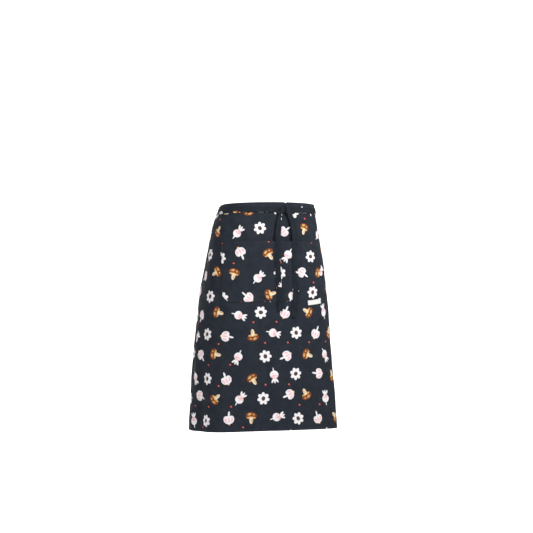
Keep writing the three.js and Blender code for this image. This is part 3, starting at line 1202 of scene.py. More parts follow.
@dataclass
class Stitching:
    """Rows of stitches on one piece, joined into one mesh. Each stitch is a copy of one shaped form."""

    name: str
    form: WornForm
    pitch: float = 0.0029
    length: float = 0.0023
    width: float = 0.00046
    height: float = 0.00034
    above: float = 0.002
    segments: int = 6
    rings: int = 4
    rows: list[Array] = field(default_factory=list)

    def _form(self) -> tuple[Array, list[tuple[int, ...]]]:
        """Models one stitch.

        Returns:
            Its vertices along, beside and above the row, and its faces.
        """
        bpy.ops.object.select_all(action="DESELECT")
        bpy.ops.mesh.primitive_uv_sphere_add(segments=self.segments, ring_count=self.rings, radius=0.5)
        stitch = bpy.context.object
        with editing(stitch):
            bpy.ops.transform.rotate(value=math.pi / 2, orient_axis="Y", center_override=(0, 0, 0))
            bpy.ops.transform.resize(value=(self.length, self.width, self.height))
        points = np.array([vertex.co for vertex in stitch.data.vertices])
        # Blender leaves the order of a round form's faces to chance
        faces = sorted(tuple(face.vertices) for face in stitch.data.polygons)
        bpy.data.objects.remove(stitch)
        return points, faces

    def add_row(self, points: Array, above: Array) -> None:
        """Sews a row of stitches.

        Args:
            points: Close points along the row, on the cloth.
            above: The same points a little way off the cloth.
        """
        run = run_along(points)
        count = max(1, int(run[-1] / self.pitch))
        middles = (np.arange(count) + 0.5) * run[-1] / count

        def at(track: Array, where: Array) -> Array:
            """Reads a track of points at distances along the row."""
            return np.stack([np.interp(where, run, track[:, axis]) for axis in range(3)], axis=-1)

        middle = at(points, middles)
        reach = self.pitch / 3
        along = unit(at(points, middles + reach) - at(points, middles - reach))
        beside = unit(np.cross(unit(at(above, middles) - middle), along))
        self.rows.append(np.stack([middle, along, beside, np.cross(along, beside)], axis=1))

    def sew(self, across: Values, drop: Values, lift: Values) -> None:
        """Sews a row along a line on the worn cloth, at the lifts of the face that it lies on."""
        points = self.form.cloth(across, drop, lift)
        self.add_row(points, self.form.cloth(across, drop, lift + self.above))

    def build(self, thread: Material) -> Piece:
        """Joins all rows into one piece.

        Args:
            thread: The thread's finish.

        Returns:
            The stitches.
        """
        stitch, faces = self._form()
        placed = np.concatenate(self.rows)
        points = placed[:, None, 0] + np.einsum("va,sac->svc", stitch, placed[:, 1:])
        starts = np.arange(len(placed)) * len(stitch)
        corners = [tuple(start + corner for corner in face) for start in starts.tolist() for face in faces]
        mesh = bpy.data.meshes.new(self.name)
        mesh.from_pydata(points.reshape(-1, 3).tolist(), [], corners)
        mesh.materials.append(thread)
        piece = bpy.data.objects.new(self.name, mesh)
        bpy.context.scene.collection.objects.link(piece)
        select_only(piece)
        bpy.ops.object.shade_smooth()
        return join_frame(piece, CLOTH_SLOT)


@dataclass
class Clothwork:
    """What every cloth piece is made with: the worn form and the finishes."""

    WEAR_WIDTH: ClassVar[float] = 0.003

    form: WornForm
    finishes: Wardrobe

    def _hang(self, name: str, points: Array, flat: Array, from_edge: Array) -> Piece:
        """Makes one ply of printed cloth, worn along its edges.

        Args:
            name: Name of the piece.
            points: A place for each vertex, by row and by column.
            flat: Each vertex's place on the cut cloth.
            from_edge: Each vertex's distance from the nearest worn edge.

        Returns:
            The piece.
        """
        piece = weave(name, points, flat, np.exp(-from_edge / self.WEAR_WIDTH))
        thicken(piece, PLY, self.finishes.face, self.finishes.reverse)
        return piece


@dataclass
class Skirt(Clothwork):
    """The main panel, hemmed at its sides and bottom, with its top edge in the band."""

    WEAR_WIDTH: ClassVar[float] = 0.004

    hem: float = 0.033
    side_hem: float = 0.018
    fold_ease: float = 0.002
    stitch_inset: float = 0.002
    row_inset: float = 0.002
    top: float = 0.0015
    column_step: float = 0.0042
    row_step: float = 0.0048
    print_start: Pair = (0.011, -0.012)

    def _side_row(self) -> float:
        """Place of the stitches along a side hem."""
        return HALF_CUT - self.side_hem + self.stitch_inset

    def _hem_row(self) -> float:
        """Drop of the stitches along the bottom hem."""
        return LENGTH - self.hem + self.stitch_inset

    def _drawn(self, across: Array, drop: Values) -> Array:
        """Lift that the panel's seams give it."""
        hem = SEAM.draw(drop - self._hem_row(), across)
        return hem + SEAM.draw(np.abs(across) - self._side_row(), drop)

    def build(self) -> Piece:
        """Cuts, hems and hangs the panel.

        Returns:
            The panel.
        """
        side = self._side_row()
        face_columns = ruled(-HALF_CUT, HALF_CUT, self.column_step, (-side, side))
        columns = hemmed(face_columns, self.side_hem, self.side_hem)
        face_rows = ruled(self.top, LENGTH, self.row_step, (self._hem_row(),))
        rows = hemmed(face_rows, 0, self.hem).reversed()
        across, drop = np.meshgrid(columns.place, rows.place)
        side_turn, hem_turn = np.meshgrid(columns.turn, rows.turn)
        side_start = HALF_CUT - self.side_hem
        in_side = smoothstep(np.abs(across), side_start - self.fold_ease, side_start)
        plies = (1 - hem_turn) * side_turn + hem_turn * (1 + 2 * in_side - side_turn)
        tucked = drop - LAYER * side_turn * bell(LENGTH - drop, self.fold_ease)
        lift = SKIRT_LIFT - LAYER * plies + self._drawn(across, drop)
        u, v = np.meshgrid(columns.flat, rows.flat)
        flat = np.stack([u + self.print_start[0], self.print_start[1] - v], axis=-1)
        from_edge = np.minimum(LENGTH - drop, HALF_CUT - np.abs(across))
        piece = self._hang("skirt_cloth", self.form.cloth(across, tucked, lift), flat, from_edge)
        return join_frame(piece, CLOTH_SLOT, "skirt_panel")

    def stitch(self) -> Piece:
        """Sews the hems, with the thread showing on both faces.

        Returns:
            The stitches.
        """
        stitching = Stitching("skirt_stitching", self.form)
        across = ruled(self.row_inset - HALF_CUT, HALF_CUT - self.row_inset, STITCH_STEP)
        drop = ruled(BAND_HEIGHT, LENGTH - self.row_inset, STITCH_STEP)
        for lift in (SKIRT_LIFT + PLY / 2, SKIRT_LIFT - LAYER - PLY / 2):
            stitching.sew(across, self._hem_row(), lift + self._drawn(across, self._hem_row()))
            for side in Side:
                place = np.full(drop.shape, side.value * self._side_row())
                stitching.sew(place, drop, lift + self._drawn(place, drop))
        return stitching.build(self.finishes.thread)

    def flat_size(self) -> Pair:
        """Width and length of the cut cloth."""
        return CUT_WIDTH + 2 * self.side_hem, LENGTH - self.top + self.hem


@dataclass
class Waistband(Clothwork):
    """Strip folded over the panel's top edge with its long edges turned in, and a notch at the knot."""

    turn_in: float = 0.010
    top_rise: float = 0.003
    stitch_inset: float = 0.002
    row_inset: float = 0.003
    end_rows: Pair = (0.001, 0.014)
    end_clear: float = 0.001
    turn_points: int = 7
    under_points: int = 5
    column_step: float = 0.004
    row_step: float = 0.0035
    pinch: float = 0.006
    pinch_share: float = 0.35
    print_start: Pair = (0.047, 0.219)
    notch_across: float = 0.0283
    notch: float = 0.0026
    notch_width: float = 0.0026
    notch_fall: float = 0.004

    def _row(self) -> float:
        """Drop of the stitches along the band's lower edge."""
        return BAND_HEIGHT - self.stitch_inset

    def _profile(self) -> tuple[Array, Array]:
        """The strip's section, from inside its outer edge over the top to inside its inner edge.

        Returns:
            Drops and lifts of the strip's middle.
        """
        half_turn = np.linspace(0, math.pi, self.turn_points)
        small = LAYER / 2
        large = (BAND_OUTER_LIFT - BAND_INNER_LIFT) / 2
        face = ruled(large - self.top_rise, BAND_HEIGHT - small, self.row_step, (self._row(),))[1:-1]
        under = np.linspace(BAND_HEIGHT - self.turn_in, BAND_HEIGHT - small, self.under_points)[:-1]
        low = BAND_HEIGHT - small + small * np.sin(half_turn)
        top = large - self.top_rise - large * np.sin(half_turn)
        across_low = small * (1 - np.cos(half_turn))
        across_top = large * (1 - np.cos(half_turn))
        drops = np.concatenate([under, low, face[::-1], top, face, low, under[::-1]])
        lifts = np.concatenate([
            np.full(len(under), BAND_OUTER_LIFT - LAYER),
            BAND_OUTER_LIFT - LAYER + across_low,
            np.full(len(face), BAND_OUTER_LIFT),
            BAND_OUTER_LIFT - across_top,
            np.full(len(face), BAND_INNER_LIFT),
            BAND_INNER_LIFT + across_low,
            np.full(len(under), BAND_INNER_LIFT + LAYER),
        ])
        return drops, lifts

    def _drawn(self, across: Array, drop: Values) -> Array:
        """Lift that the band's seam gives it."""
        return SEAM.draw(drop - BAND_HEIGHT + self.stitch_inset, across)

    def build(self) -> Piece:
        """Folds the strip round the panel's top edge.

        Returns:
            The band.
        """
        drops, lifts = self._profile()
        v_lines = run_along(np.stack([drops, lifts], axis=-1))
        close = (self.pinch - HALF_CUT, self.notch_across, HALF_CUT - self.pinch)
        u_lines = ruled(-HALF_CUT, HALF_CUT, self.column_step, close)
        across, drop = np.meshgrid(u_lines, drops)
        lift = np.repeat(lifts[:, None], len(u_lines), axis=1)
        middle = (BAND_OUTER_LIFT + BAND_INNER_LIFT) / 2
        closing = self.pinch_share * smoothstep(np.abs(across), HALF_CUT - self.pinch, HALF_CUT)
        outside = np.where(lift > middle, 1.0, -1.0)
        lift = lift + (middle - lift) * closing + outside * self._drawn(across, drop)
        u, v = np.meshgrid(u_lines, v_lines)
        flat = np.stack([u + self.print_start[0], v + self.print_start[1]], axis=-1)
        from_top = drop + self.top_rise
        from_knot = (across - self.notch_across) / self.notch_width
        pulled = self.notch * np.exp(-(from_knot**2) - from_top / self.notch_fall)
        points = self.form.cloth(across, drop + pulled, lift)
        piece = self._hang("waistband_cloth", points, flat, np.minimum(from_top, BAND_HEIGHT - drop))
        return join_frame(piece, CLOTH_SLOT, "waistband")

    def stitch(self) -> Piece:
        """Sews the band's lower edge and its ends.

        Returns:
            The stitches.
        """
        stitching = Stitching("waistband_stitching", self.form)
        outer, inner = BAND_OUTER_LIFT + PLY / 2, BAND_INNER_LIFT - PLY / 2
        across = ruled(self.row_inset - HALF_CUT, HALF_CUT - self.row_inset, STITCH_STEP)
        drawn = self._drawn(across, self._row())
        for lift in (outer + drawn, inner - drawn):
            stitching.sew(across, self._row(), lift)
        drop = ruled(self.row_inset, self._row() - self.end_clear, STITCH_STEP)
        for side in Side:
            for inset in self.end_rows:
                stitching.sew(side.value * (HALF_CUT - self.pinch - inset), drop, outer)
        return stitching.build(self.finishes.thread)

    def flat_size(self) -> Pair:
        """Length and width of the cut strip."""
        return CUT_WIDTH, 2 * (BAND_HEIGHT + self.top_rise + self.turn_in)


@dataclass
class Pocket(Clothwork):
    """Wide patch pocket, turned under all round, sewn at its sides and bottom and open at the top."""

    width: float = 0.330
    height: float = 0.182
    middle: float = -0.005
    drop: float = 0.121
    corner_across: float = 0.020
    corner_rise: float = 0.017
    corner_reach: float = 0.07
    corner_plies: float = 0.2
    gape: float = 0.0095
    gape_fall: float = 1.3
    turn_under: float = 0.009
    mouth_hem: float = 0.026
    stitch_inset: float = 0.002
    press: float = 0.00024
    press_width: float = 0.006
    step: float = 0.0034
    bar_width: float = 0.0024
    bar_start: float = 0.0015
    bar_pitch: float = 0.0011
    bar_rows: int = 9
    bar_points: int = 5
    row_start: float = 0.001
    print_start: Pair = (0.243, 0.127)

    def _edge(self) -> float:
        """Half the pocket's width."""
        return self.width / 2

    def bottom(self) -> float:
        """Drop of the bottom edge."""
        return self.drop + self.height

    def _mouth_row(self) -> float:
        """Drop of the stitches along the mouth's hem."""
        return self.drop + self.mouth_hem - self.stitch_inset

    def cut(self, across: Array, drop: Array) -> Array:
        """Drop of the cloth once the lower corners are cut across.

        Args:
            across: Places along the cloth.
            drop: Drops on a pocket with square corners.

        Returns:
            Drops on the pocket.
        """
        into = np.abs(across - self.middle) - (self._edge() - self.corner_across)
        rise = self.corner_rise * np.clip(into / self.corner_across, 0, 1)
        return drop - rise * smoothstep(drop, self.bottom() - self.corner_reach, self.bottom())

    def stand_off(self, across: Array, drop: Array) -> Array:
        """How far the pocket stands off the panel, most at the middle of its mouth.

        Args:
            across: Places along the cloth.
            drop: Drops below the band's top edge.

        Returns:
            Distances of the same shape.
        """
        sideways = np.maximum(0, 1 - ((across - self.middle) / self._edge()) ** 2)
        upward = np.maximum(0, 1 - (drop - self.drop) / self.height)
        return self.gape * sideways * upward**self.gape_fall

    def surface(self, across: Array, drop: Array) -> Array:
        """Lift of the pocket's ply, pressed down along its sewn edges.

        Args:
            across: Places along the cloth.
            drop: Drops below the band's top edge.

        Returns:
            Lifts of the same shape.
        """
        from_side = self._edge() - np.abs(across - self.middle)
        from_bottom = self.bottom() - drop
        pressed = self.press * bell(np.minimum(from_side, from_bottom), self.press_width)
        bottom_seam = SEAM.draw(from_bottom - self.stitch_inset, across)
        seams = bottom_seam + SEAM.draw(from_side - self.stitch_inset, drop)
        mouth = SEAM.draw(drop - self.drop - self.mouth_hem + self.stitch_inset, across)
        return POCKET_LIFT + self.stand_off(across, drop) - pressed + seams + mouth

    def build(self) -> Piece:
        """Cuts, turns under and lays the pocket.

        Returns:
            The pocket.
        """
        low, high = self.middle - self._edge(), self.middle + self._edge()
        insets = (self.stitch_inset, self.corner_across)
        upright = [edge for inset in insets for edge in (low + inset, high - inset)]
        columns = hemmed(ruled(low, high, self.step, upright), self.turn_under, self.turn_under)
        level = (self._mouth_row(), self.bottom() - self.stitch_inset)
        face_rows = ruled(self.drop, self.bottom(), self.step, level)
        rows = hemmed(face_rows, self.mouth_hem, self.turn_under).reversed()
        across, square = np.meshgrid(columns.place, rows.place)
        side_turn, end_turn = np.meshgrid(columns.turn, rows.turn)
        plies = 1 - (1 - side_turn) * (1 - end_turn) + self.corner_plies * side_turn * end_turn
        drop = self.cut(across, square)
        lift = self.surface(across, square) - LAYER * plies
        u, v = np.meshgrid(columns.flat, rows.flat)
        flat = np.stack([u + self.print_start[0], self.print_start[1] - v + square - drop], axis=-1)
        from_side = self._edge() - np.abs(across - self.middle)
        from_edge = np.minimum(np.minimum(from_side, self.bottom() - square), square - self.drop)
        piece = self._hang("pocket_cloth", self.form.cloth(across, drop, lift), flat, from_edge)
        return join_frame(piece, CLOTH_SLOT, "pocket")

    def stitch(self) -> Piece:
        """Sews the sides, the bottom, the mouth's hem and a bar at each end of the mouth.

        Returns:
            The stitches.
        """
        stitching = Stitching("pocket_stitching", self.form)
        inset = self.stitch_inset
        left, right = self.middle - self._edge() + inset, self.middle + self._edge() - inset
        down = ruled(self.drop + self.row_start, self.bottom() - inset, STITCH_STEP)
        along = ruled(left, right, STITCH_STEP)
        across = np.concatenate([np.full(len(down), left), along[1:-1], np.full(len(down), right)])
        square = np.concatenate([down, np.full(len(along) - 2, down[-1]), down[::-1]])
        self._sew_square(stitching, across, square)
        self._sew_square(stitching, along, np.full(len(along), self._mouth_row()))
        bar = np.linspace(0, self.bar_width, self.bar_points)
        for start in (left + bar, right - bar):
            for row in range(self.bar_rows):
                drop = self.drop + self.bar_start + self.bar_pitch * row
                self._sew_square(stitching, start, np.full(len(bar), drop))
        return stitching.build(self.finishes.thread)

    def _sew_square(self, stitching: Stitching, across: Array, square: Array) -> None:
        """Sews a row whose drops are those of a pocket with square corners."""
        stitching.sew(across, self.cut(across, square), self.surface(across, square) + PLY / 2)

    def flat_size(self) -> Pair:
        """Width and height of the cut cloth."""
        return self.width + 2 * self.turn_under, self.height + self.mouth_hem + self.turn_under


@dataclass
class Label(Clothwork):
    """Plain white tape, folded double, with its ends caught in the pocket's bottom seam."""

    pocket: Pocket
    width: float = 0.054
    height: float = 0.0145
    across: float = 0.127
    tuck: float = 0.0016
    ply: float = 0.00022
    fold_radius: float = 0.00024
    bow: float = 0.0009
    ripple: float = 0.0002
    ripple_length: float = 0.006
    bow_fall: float = 1.5
    bow_least: float = 0.6
    turn_points: int = 9
    columns: int = 37
    rows: int = 13

    def build(self) -> Piece:
        """Folds the tape and hangs it below the pocket.

        Returns:
            The label.
        """
        top = self.pocket.bottom() - self.tuck
        bottom = self.pocket.bottom() + GAP + self.height
        radius = self.fold_radius
        half_turn = np.linspace(0, math.pi, self.turn_points)
        down = np.linspace(top, bottom - radius, self.rows + 1)[:-1]
        drops = np.concatenate([down, bottom - radius + radius * np.sin(half_turn), down[::-1]])
        off = np.concatenate([
            np.zeros(len(down)),
            radius * (1 - np.cos(half_turn)),
            np.full(len(down), 2 * radius),
        ])
        columns = np.linspace(-self.width / 2, self.width / 2, self.columns)
        u, v = np.meshgrid(columns, run_along(np.stack([drops, off], axis=-1)))
        drop = np.repeat(drops[:, None], len(columns), axis=1)
        hang = np.clip((drop - top) / (bottom - top), 0, 1)
        sideways = self.bow_least + (1 - self.bow_least) * np.cos(math.pi * u / self.width)
        bowed = self.bow * hang**self.bow_fall * sideways
        curl = bowed + self.ripple * hang * np.sin(u / self.ripple_length)
        lift = WALL + GAP / 2 + off[:, None] + curl
        piece = weave("label_tape", self.form.cloth(self.across + u, drop, lift), np.stack([u, v], axis=-1))
        with editing(piece):
            bpy.ops.mesh.flip_normals()
        thicken(piece, self.ply, self.finishes.label)
        return join_frame(piece, LABEL_SLOT, "pocket_label")

    def flat_size(self) -> Pair:
        """Width and length of the cut tape."""
        return self.width, 2 * (self.height + self.tuck)


@dataclass(frozen=True)
class StrapForm:
    """Section of a tie: a strip folded in four, with a closed edge, an open edge and one row of stitches."""

    # Places through the thickness: the outer face, and one thickness off it
    OUTER_FACE: ClassVar[float] = 1.0
    ABOVE_FACE: ClassVar[float] = 2.0

    width: float = 0.0165
    thickness: float = 0.0016
    lip: float = 0.0009
    stitch_inset: float = 0.002
    round_steps: int = 5
    face_steps: int = 6
    cut_from: float = 0.1025

    def profile(self) -> tuple[Array, Array]:
        """The section as one closed loop.

        Returns:
            Places across the strap's width, from -1 to 1, and places through its thickness, from 0 to 1.
        """
        turn = np.linspace(0, math.pi, self.round_steps + 1)
        round_share = self.thickness / self.width
        inner = 1 - round_share
        along = np.linspace(-inner, inner, self.face_steps + 1)[1:-1]
        closed = inner + round_share * np.sin(turn)
        between_lips = -2 * self.lip / self.thickness
        lips = -inner - round_share * np.array([0.2, 0.9, 0.9, between_lips, 0.9, 0.9, 0.2])
        lip_depths = np.array([1.0, 0.86, 0.6, 0.5, 0.4, 0.14, 0.0])
        faces = np.zeros(len(along)), np.ones(len(along))
        widths = np.concatenate([along, closed, along[::-1], lips[::-1], along[:1]])
        depths = np.concatenate([faces[0], (1 - np.cos(turn)) / 2, faces[1], lip_depths, [0.0]])
        return widths, depths

    def around(self) -> Array:
        """Distance of each point of the section along the folded strip."""
        widths, depths = self.profile()
        return run_along(np.stack([widths * self.width / 2, depths * self.thickness], axis=-1))

    def stitch_row(self) -> float:
        """Place of the stitches across the strap, beside its open edge."""
        return 2 * self.stitch_inset / self.width - 1


STRAP = StrapForm()

# Height of the ties' middle line where they lie along the band's lower edge
TIE_HEIGHT = (STRAP.width - BAND_HEIGHT) / 2


@dataclass
class Strap(Clothwork):
    """A tie or a free end: one folded strip. The kinds of strap say which way it goes."""

    NAME: ClassVar[str]
    NODE: ClassVar[str]
    CUT_MIDDLE: ClassVar[float]
    CUT_APART: ClassVar[float]

    side: Side

    def _sided(self, stem: str) -> str:
        """A name that ends in the strap's side."""
        return f"{stem}_{self.side.name.lower()}"

    def _place(self, width: Array, depth: Array) -> tuple[Array, Array]:
        """Distances along the strap, and points there from places across and through its section."""
        raise NotImplementedError

    def build(self) -> Piece:
        """Closes the strap's sections into a piece.

        Returns:
            The strap.
        """
        along, rings = self._place(*STRAP.profile())
        start = self.CUT_MIDDLE + self.CUT_APART * self.side.value
        u, v = np.meshgrid(STRAP.around(), along)
        piece = weave(self._sided(self.NAME), rings, np.stack([v + start, u + STRAP.cut_from], axis=-1))
        close_tube(piece)
        # This finish's darker ground is painted shade
        piece.data.materials.append(self.finishes.strap)
        return join_frame(piece, CLOTH_SLOT, self._sided(self.NODE))

    def _sew(self, stitching: Stitching) -> None:
        """Sews the strap's open edge.

        Args:
            stitching: The strap's stitches.
        """
        row = np.array([STRAP.stitch_row()])
        _, points = self._place(row, np.array([STRAP.OUTER_FACE]))
        _, above = self._place(row, np.array([STRAP.ABOVE_FACE]))
        stitching.add_row(points[:, 0], above[:, 0])

    def stitch(self) -> Piece:
        """Sews the strap.

        Returns:
            The stitches.
        """
        stitching = Stitching(self._sided(self.NAME) + "_stitching", self.form)
        self._sew(stitching)
        return stitching.build(self.finishes.thread)


@dataclass(frozen=True)
class RouteRow:
    """One place on a tie's way round the waist: distance from the front, height and lift."""

    around: float
    height: float
    lift: float


@dataclass
class WaistTie(Strap):
    """A tie from its own end of the band, behind and round over the other half of the band to the knot."""

    NAME: ClassVar[str] = "tie"
    NODE: ClassVar[str] = "waist_tie"
    CUT_MIDDLE: ClassVar[float] = 0.31
    CUT_APART: ClassVar[float] = 0.05

    over: bool
    knot_across: float = 0.028
    crossing_rise: float = 0.0086
    clearance: float = 0.0007
    leave: float = 0.012
    swap: float = 0.030
    approach: float = 0.056
    step: float = 0.003
    sway: float = 0.0007
    sway_length: float = 0.05
    sway_row: float = 3.7

    def _route(self) -> tuple[RouteRow, ...]:
        """Rows of the way round, from the band's end to the knot.

        Returns:
            The rows.
        """
        in_band = (WALL - STRAP.thickness) / 2
        crossing = in_band + STRAP.thickness + self.clearance if self.over else in_band
        girth = 2 * self.form.half_girth
        other = girth - HALF_CUT
        end = girth + self.side.value * self.knot_across - GAP
        rise = self.crossing_rise
        return (
            RouteRow(HALF_CUT + GAP, TIE_HEIGHT, in_band),
            RouteRow(HALF_CUT + self.leave, -rise, in_band),
            RouteRow(HALF_CUT + self.swap, -rise, crossing),
            RouteRow(other - self.swap, rise, crossing),
            RouteRow(other - self.leave, rise, ON_BAND),
            RouteRow(other + self.swap, rise, ON_BAND),
            RouteRow(end - self.approach, TIE_HEIGHT, ON_BAND),
            RouteRow(end, TIE_HEIGHT, ON_BAND),
        )

    def _stations(self) -> tuple[Array, Array, Array]:
        """Distances round the waist with the tie's height and lift there.

        Returns:
            Distances, heights and lifts.
        """
        rows = self._route()
        around = ruled(rows[0].around, rows[-1].around, self.step)
        height, lift = np.zeros(len(around)), np.zeros(len(around))
        for low, high in zip(rows, rows[1:]):
            inside = (around >= low.around) & (around <= high.around)
            share = smoothstep(around[inside], low.around, high.around)
            height[inside] = low.height + (high.height - low.height) * share
            lift[inside] = low.lift + (high.lift - low.lift) * share
        spots = [Vector((place / self.sway_length, self.side.value, self.sway_row)) for place in around]
        return around, height + self.sway * np.array([noise.noise(spot) for spot in spots]), lift

    def _place(self, width: Array, depth: Array) -> tuple[Array, Array]:
        """Places points of the section at every station round the waist.

        Args:
            width: Places across the strap, from -1 to 1.
            depth: Places through the strap, from 0 to 1.

        Returns:
            Distances along the strap, and points by station and by place in the section.
        """
        around, height, lift = self._stations()
        heights = height[:, None] + width[None] * STRAP.width / 2
        lifts = lift[:, None] + depth[None] * STRAP.thickness
        return around, self.form.band(self.side.value * around[:, None], heights, lifts)

    def flat_size(self) -> Pair:
        """Finished width and length of the tie."""
        rows = self._route()
        return STRAP.width, rows[-1].around - rows[0].around


@dataclass(frozen=True)
class TailRow:
    """One place on a hanging end: its place on the cloth, lift, width, and roll in degrees."""

    across: float
    drop: float
    lift: float
    width: float
    roll: float = 0.0


LEFT_TAIL = (
    TailRow(0.0330, 0.0200, 0.0062, 0.0085),
    TailRow(0.0322, 0.0140, 0.0070, 0.0090),
    TailRow(0.0300, 0.0100, 0.0092, 0.0092),
    TailRow(0.0255, 0.0110, 0.0114, 0.0090),
    TailRow(0.0195, 0.0175, 0.0118, 0.0086),
    TailRow(0.0160, 0.0280, 0.0106, 0.0086),
    TailRow(0.0140, 0.0410, 0.0096, 0.0104, 6),
    TailRow(0.0120, 0.0680, 0.0112, 0.0148, 14),
    TailRow(0.0070, 0.1210, 0.0165, 0.0165, 25),
    TailRow(0.0050, 0.1570, 0.0146, 0.0162, 29),
    TailRow(0.0040, 0.2090, 0.0114, 0.0165, 27),
    TailRow(0.0040, 0.2620, 0.0087, 0.0165, 24),
    TailRow(0.0060, 0.3070, 0.0072, 0.0162, 26),
    TailRow(0.0060, 0.3340, 0.0060, 0.0165, 22),
)
RIGHT_TAIL = (
    TailRow(0.0230, 0.0200, 0.0082, 0.0085),
    TailRow(0.0240, 0.0130, 0.0096, 0.0092),
    TailRow(0.0258, 0.0090, 0.0120, 0.0100),
    TailRow(0.0295, 0.0104, 0.0142, 0.0112),
    TailRow(0.0350, 0.0185, 0.0142, 0.0126),
    TailRow(0.0400, 0.0285, 0.0122, 0.0138),
    TailRow(0.0456, 0.0400, 0.0104, 0.0146, 4),
    TailRow(0.0560, 0.0640, 0.0116, 0.0158, 14),
    TailRow(0.0600, 0.1210, 0.0158, 0.0165, 24),
    TailRow(0.0580, 0.1570, 0.0140, 0.0158, 29),
    TailRow(0.0590, 0.2090, 0.0112, 0.0165, 26),
    TailRow(0.0570, 0.2620, 0.0089, 0.0162, 29),
    TailRow(0.0530, 0.3070, 0.0072, 0.0155, 24),
    TailRow(0.0490, 0.3530, 0.0054, 0.0165, 19),
)


@dataclass
class TieTail(Strap):
    """A free end, from its turn over the knot down over the pocket to its hem."""

    NAME: ClassVar[str] = "tail"
    NODE: ClassVar[str] = "tie_tail"
    CUT_MIDDLE: ClassVar[float] = 0.47
    CUT_APART: ClassVar[float] = 0.16

    rows: tuple[TailRow, ...]
    step: float = 0.0025
    end_hem: float = 0.012
    hem_ease: float = 0.001
    hem_swell: float = 0.35
    hem_points: int = 12
    most_bunched: float = 1.6
    crease_share: float = 0.5
    crease_width: float = 0.3

    def _stations(self) -> tuple[Array, Array, Array]:
        """Even places along the end.

        Returns:
            Distances along it, places as across, rise and lift, and widths with rolls.
        """
        table = np.array([(r.across, -r.drop, r.lift, r.width, math.radians(r.roll)) for r in self.rows])
        run = run_along(table[:, :3])
        along = ruled(0, run[-1], self.step)
        read = Spline(run, table)(along)
        return along, read[:, :3], read[:, 3:]

    def _place(self, width: Array, depth: Array) -> tuple[Array, Array]:
        """Places points of the section, bunched near the knot and doubled at the hem.

        Args:
            width: Places across the strap, from -1 to 1.
            depth: Places through the strap, from 0 to 1.

        Returns:
            Distances along the strap, and points by station and by place in the section.
        """
        along, middle, shape = self._stations()
        onward = unit(np.gradient(middle, along, axis=0))
        level = unit(np.array([1.0, 0.0, 0.0]) - onward[:, :1] * onward)
        upright = np.cross(onward, level)
        roll = shape[:, 1:]
        sideways = level * np.cos(roll) + upright * np.sin(roll)
        outward = upright * np.cos(roll) - level * np.sin(roll)
        bunched = np.clip(STRAP.width / shape[:, 0], 1, self.most_bunched)
        hem_start = along[-1] - self.end_hem
        thick = 1 + self.hem_swell * smoothstep(along, hem_start - self.hem_ease, hem_start)
        thick = STRAP.thickness * bunched * thick
        crease = self.crease_share * (bunched - 1)[:, None] * bell(width[None], self.crease_width)
        half = shape[:, :1] / 2
        across = half[..., None] * width[None, :, None] * sideways[:, None]
        through = (thick[:, None] * (depth[None] - crease))[..., None] * outward[:, None]
        spots = middle[:, None] + across + through
        return along, self.form.cloth(spots[..., 0], -spots[..., 1], spots[..., 2])

    def _sew(self, stitching: Stitching) -> None:
        """Sews the open edge and the hem of the end.

        Args:
            stitching: The end's stitches.
        """
        super()._sew(stitching)
        hem = np.linspace(STRAP.stitch_row(), -STRAP.stitch_row(), self.hem_points)
        along, points = self._place(hem, np.full(self.hem_points, STRAP.OUTER_FACE))
        _, above = self._place(hem, np.full(self.hem_points, STRAP.ABOVE_FACE))
        station = int(np.searchsorted(along, along[-1] - self.end_hem + STRAP.stitch_inset))
        stitching.add_row(points[station], above[station])

    def flat_size(self) -> Pair:
        """Finished width and length of the end."""
        return STRAP.width, float(self._stations()[0][-1])


@dataclass
class Knot(Clothwork):
    """The turn of both ties under the two ends: a bunched, arched bundle of cloth over the ties."""

    across: float = 0.028
    width: float = 0.028
    height: float = 0.020
    depth: float = 0.0066
    arch: float = 0.006
    raise_by: float = 0.0028
    wrinkles: int = 7
    wrinkle_depth: float = 0.07
    twist: float = 3.4
    segments: int = 40
    rings: int = 24
    flat: Pair = (0.0165, 0.036)
    cut_from: Pair = (0.62, 0.120)

    def build(self) -> Piece:
        """Bunches the cloth of the knot.

        Returns:
            The knot.
        """
        bpy.ops.object.select_all(action="DESELECT")
        bpy.ops.mesh.primitive_uv_sphere_add(segments=self.segments, ring_count=self.rings, radius=1)
        piece = bpy.context.object
        piece.name = piece.data.name = "knot_folds"
        self._map(piece)
        long, deep, tall = np.array([vertex.co for vertex in piece.data.vertices]).T
        slant = np.arctan2(tall, deep) * self.wrinkles + self.twist * long
        ridge = 1 + self.wrinkle_depth * np.sin(slant) * (1 - long**4)
        middle_drop = BAND_TOP - TIE_HEIGHT - self.raise_by
        on_ties = ON_BAND + STRAP.thickness + GAP
        drop = middle_drop + self.arch * long**2 - tall * ridge * self.height / 2
        lift = on_ties + self.depth / 2 + deep * ridge * self.depth / 2
        moved = self.form.cloth(self.across + long * self.width / 2, drop, lift)
        piece.data.vertices.foreach_set("co", moved.reshape(-1).astype(np.float32))
        with editing(piece):
            bpy.ops.mesh.normals_make_consistent(inside=False)
            bpy.ops.mesh.sort_elements(type="CURSOR_DISTANCE", elements={"FACE"})
        bpy.ops.object.shade_smooth()
        # The knot takes the strap finish, whose darker ground is painted shade
        piece.data.materials.append(self.finishes.strap)
        return join_frame(piece, CLOTH_SLOT, "tie_knot")

    def _map(self, piece: Piece) -> None:
        """Scales the knot's own map to the size of its cloth.

        Args:
            piece: The knot.
        """
        layer = piece.data.uv_layers[0]
        layer.name = FLAT_MAP
        places = np.empty(2 * len(layer.data), np.float32)
        layer.data.foreach_get("uv", places)
        scaled = places.reshape(-1, 2) * np.array(self.flat[::-1]) + np.array(self.cut_from)
        layer.data.foreach_set("uv", scaled.reshape(-1).astype(np.float32))
        piece.data.attributes.new(EDGE_WEAR, "FLOAT", "POINT")


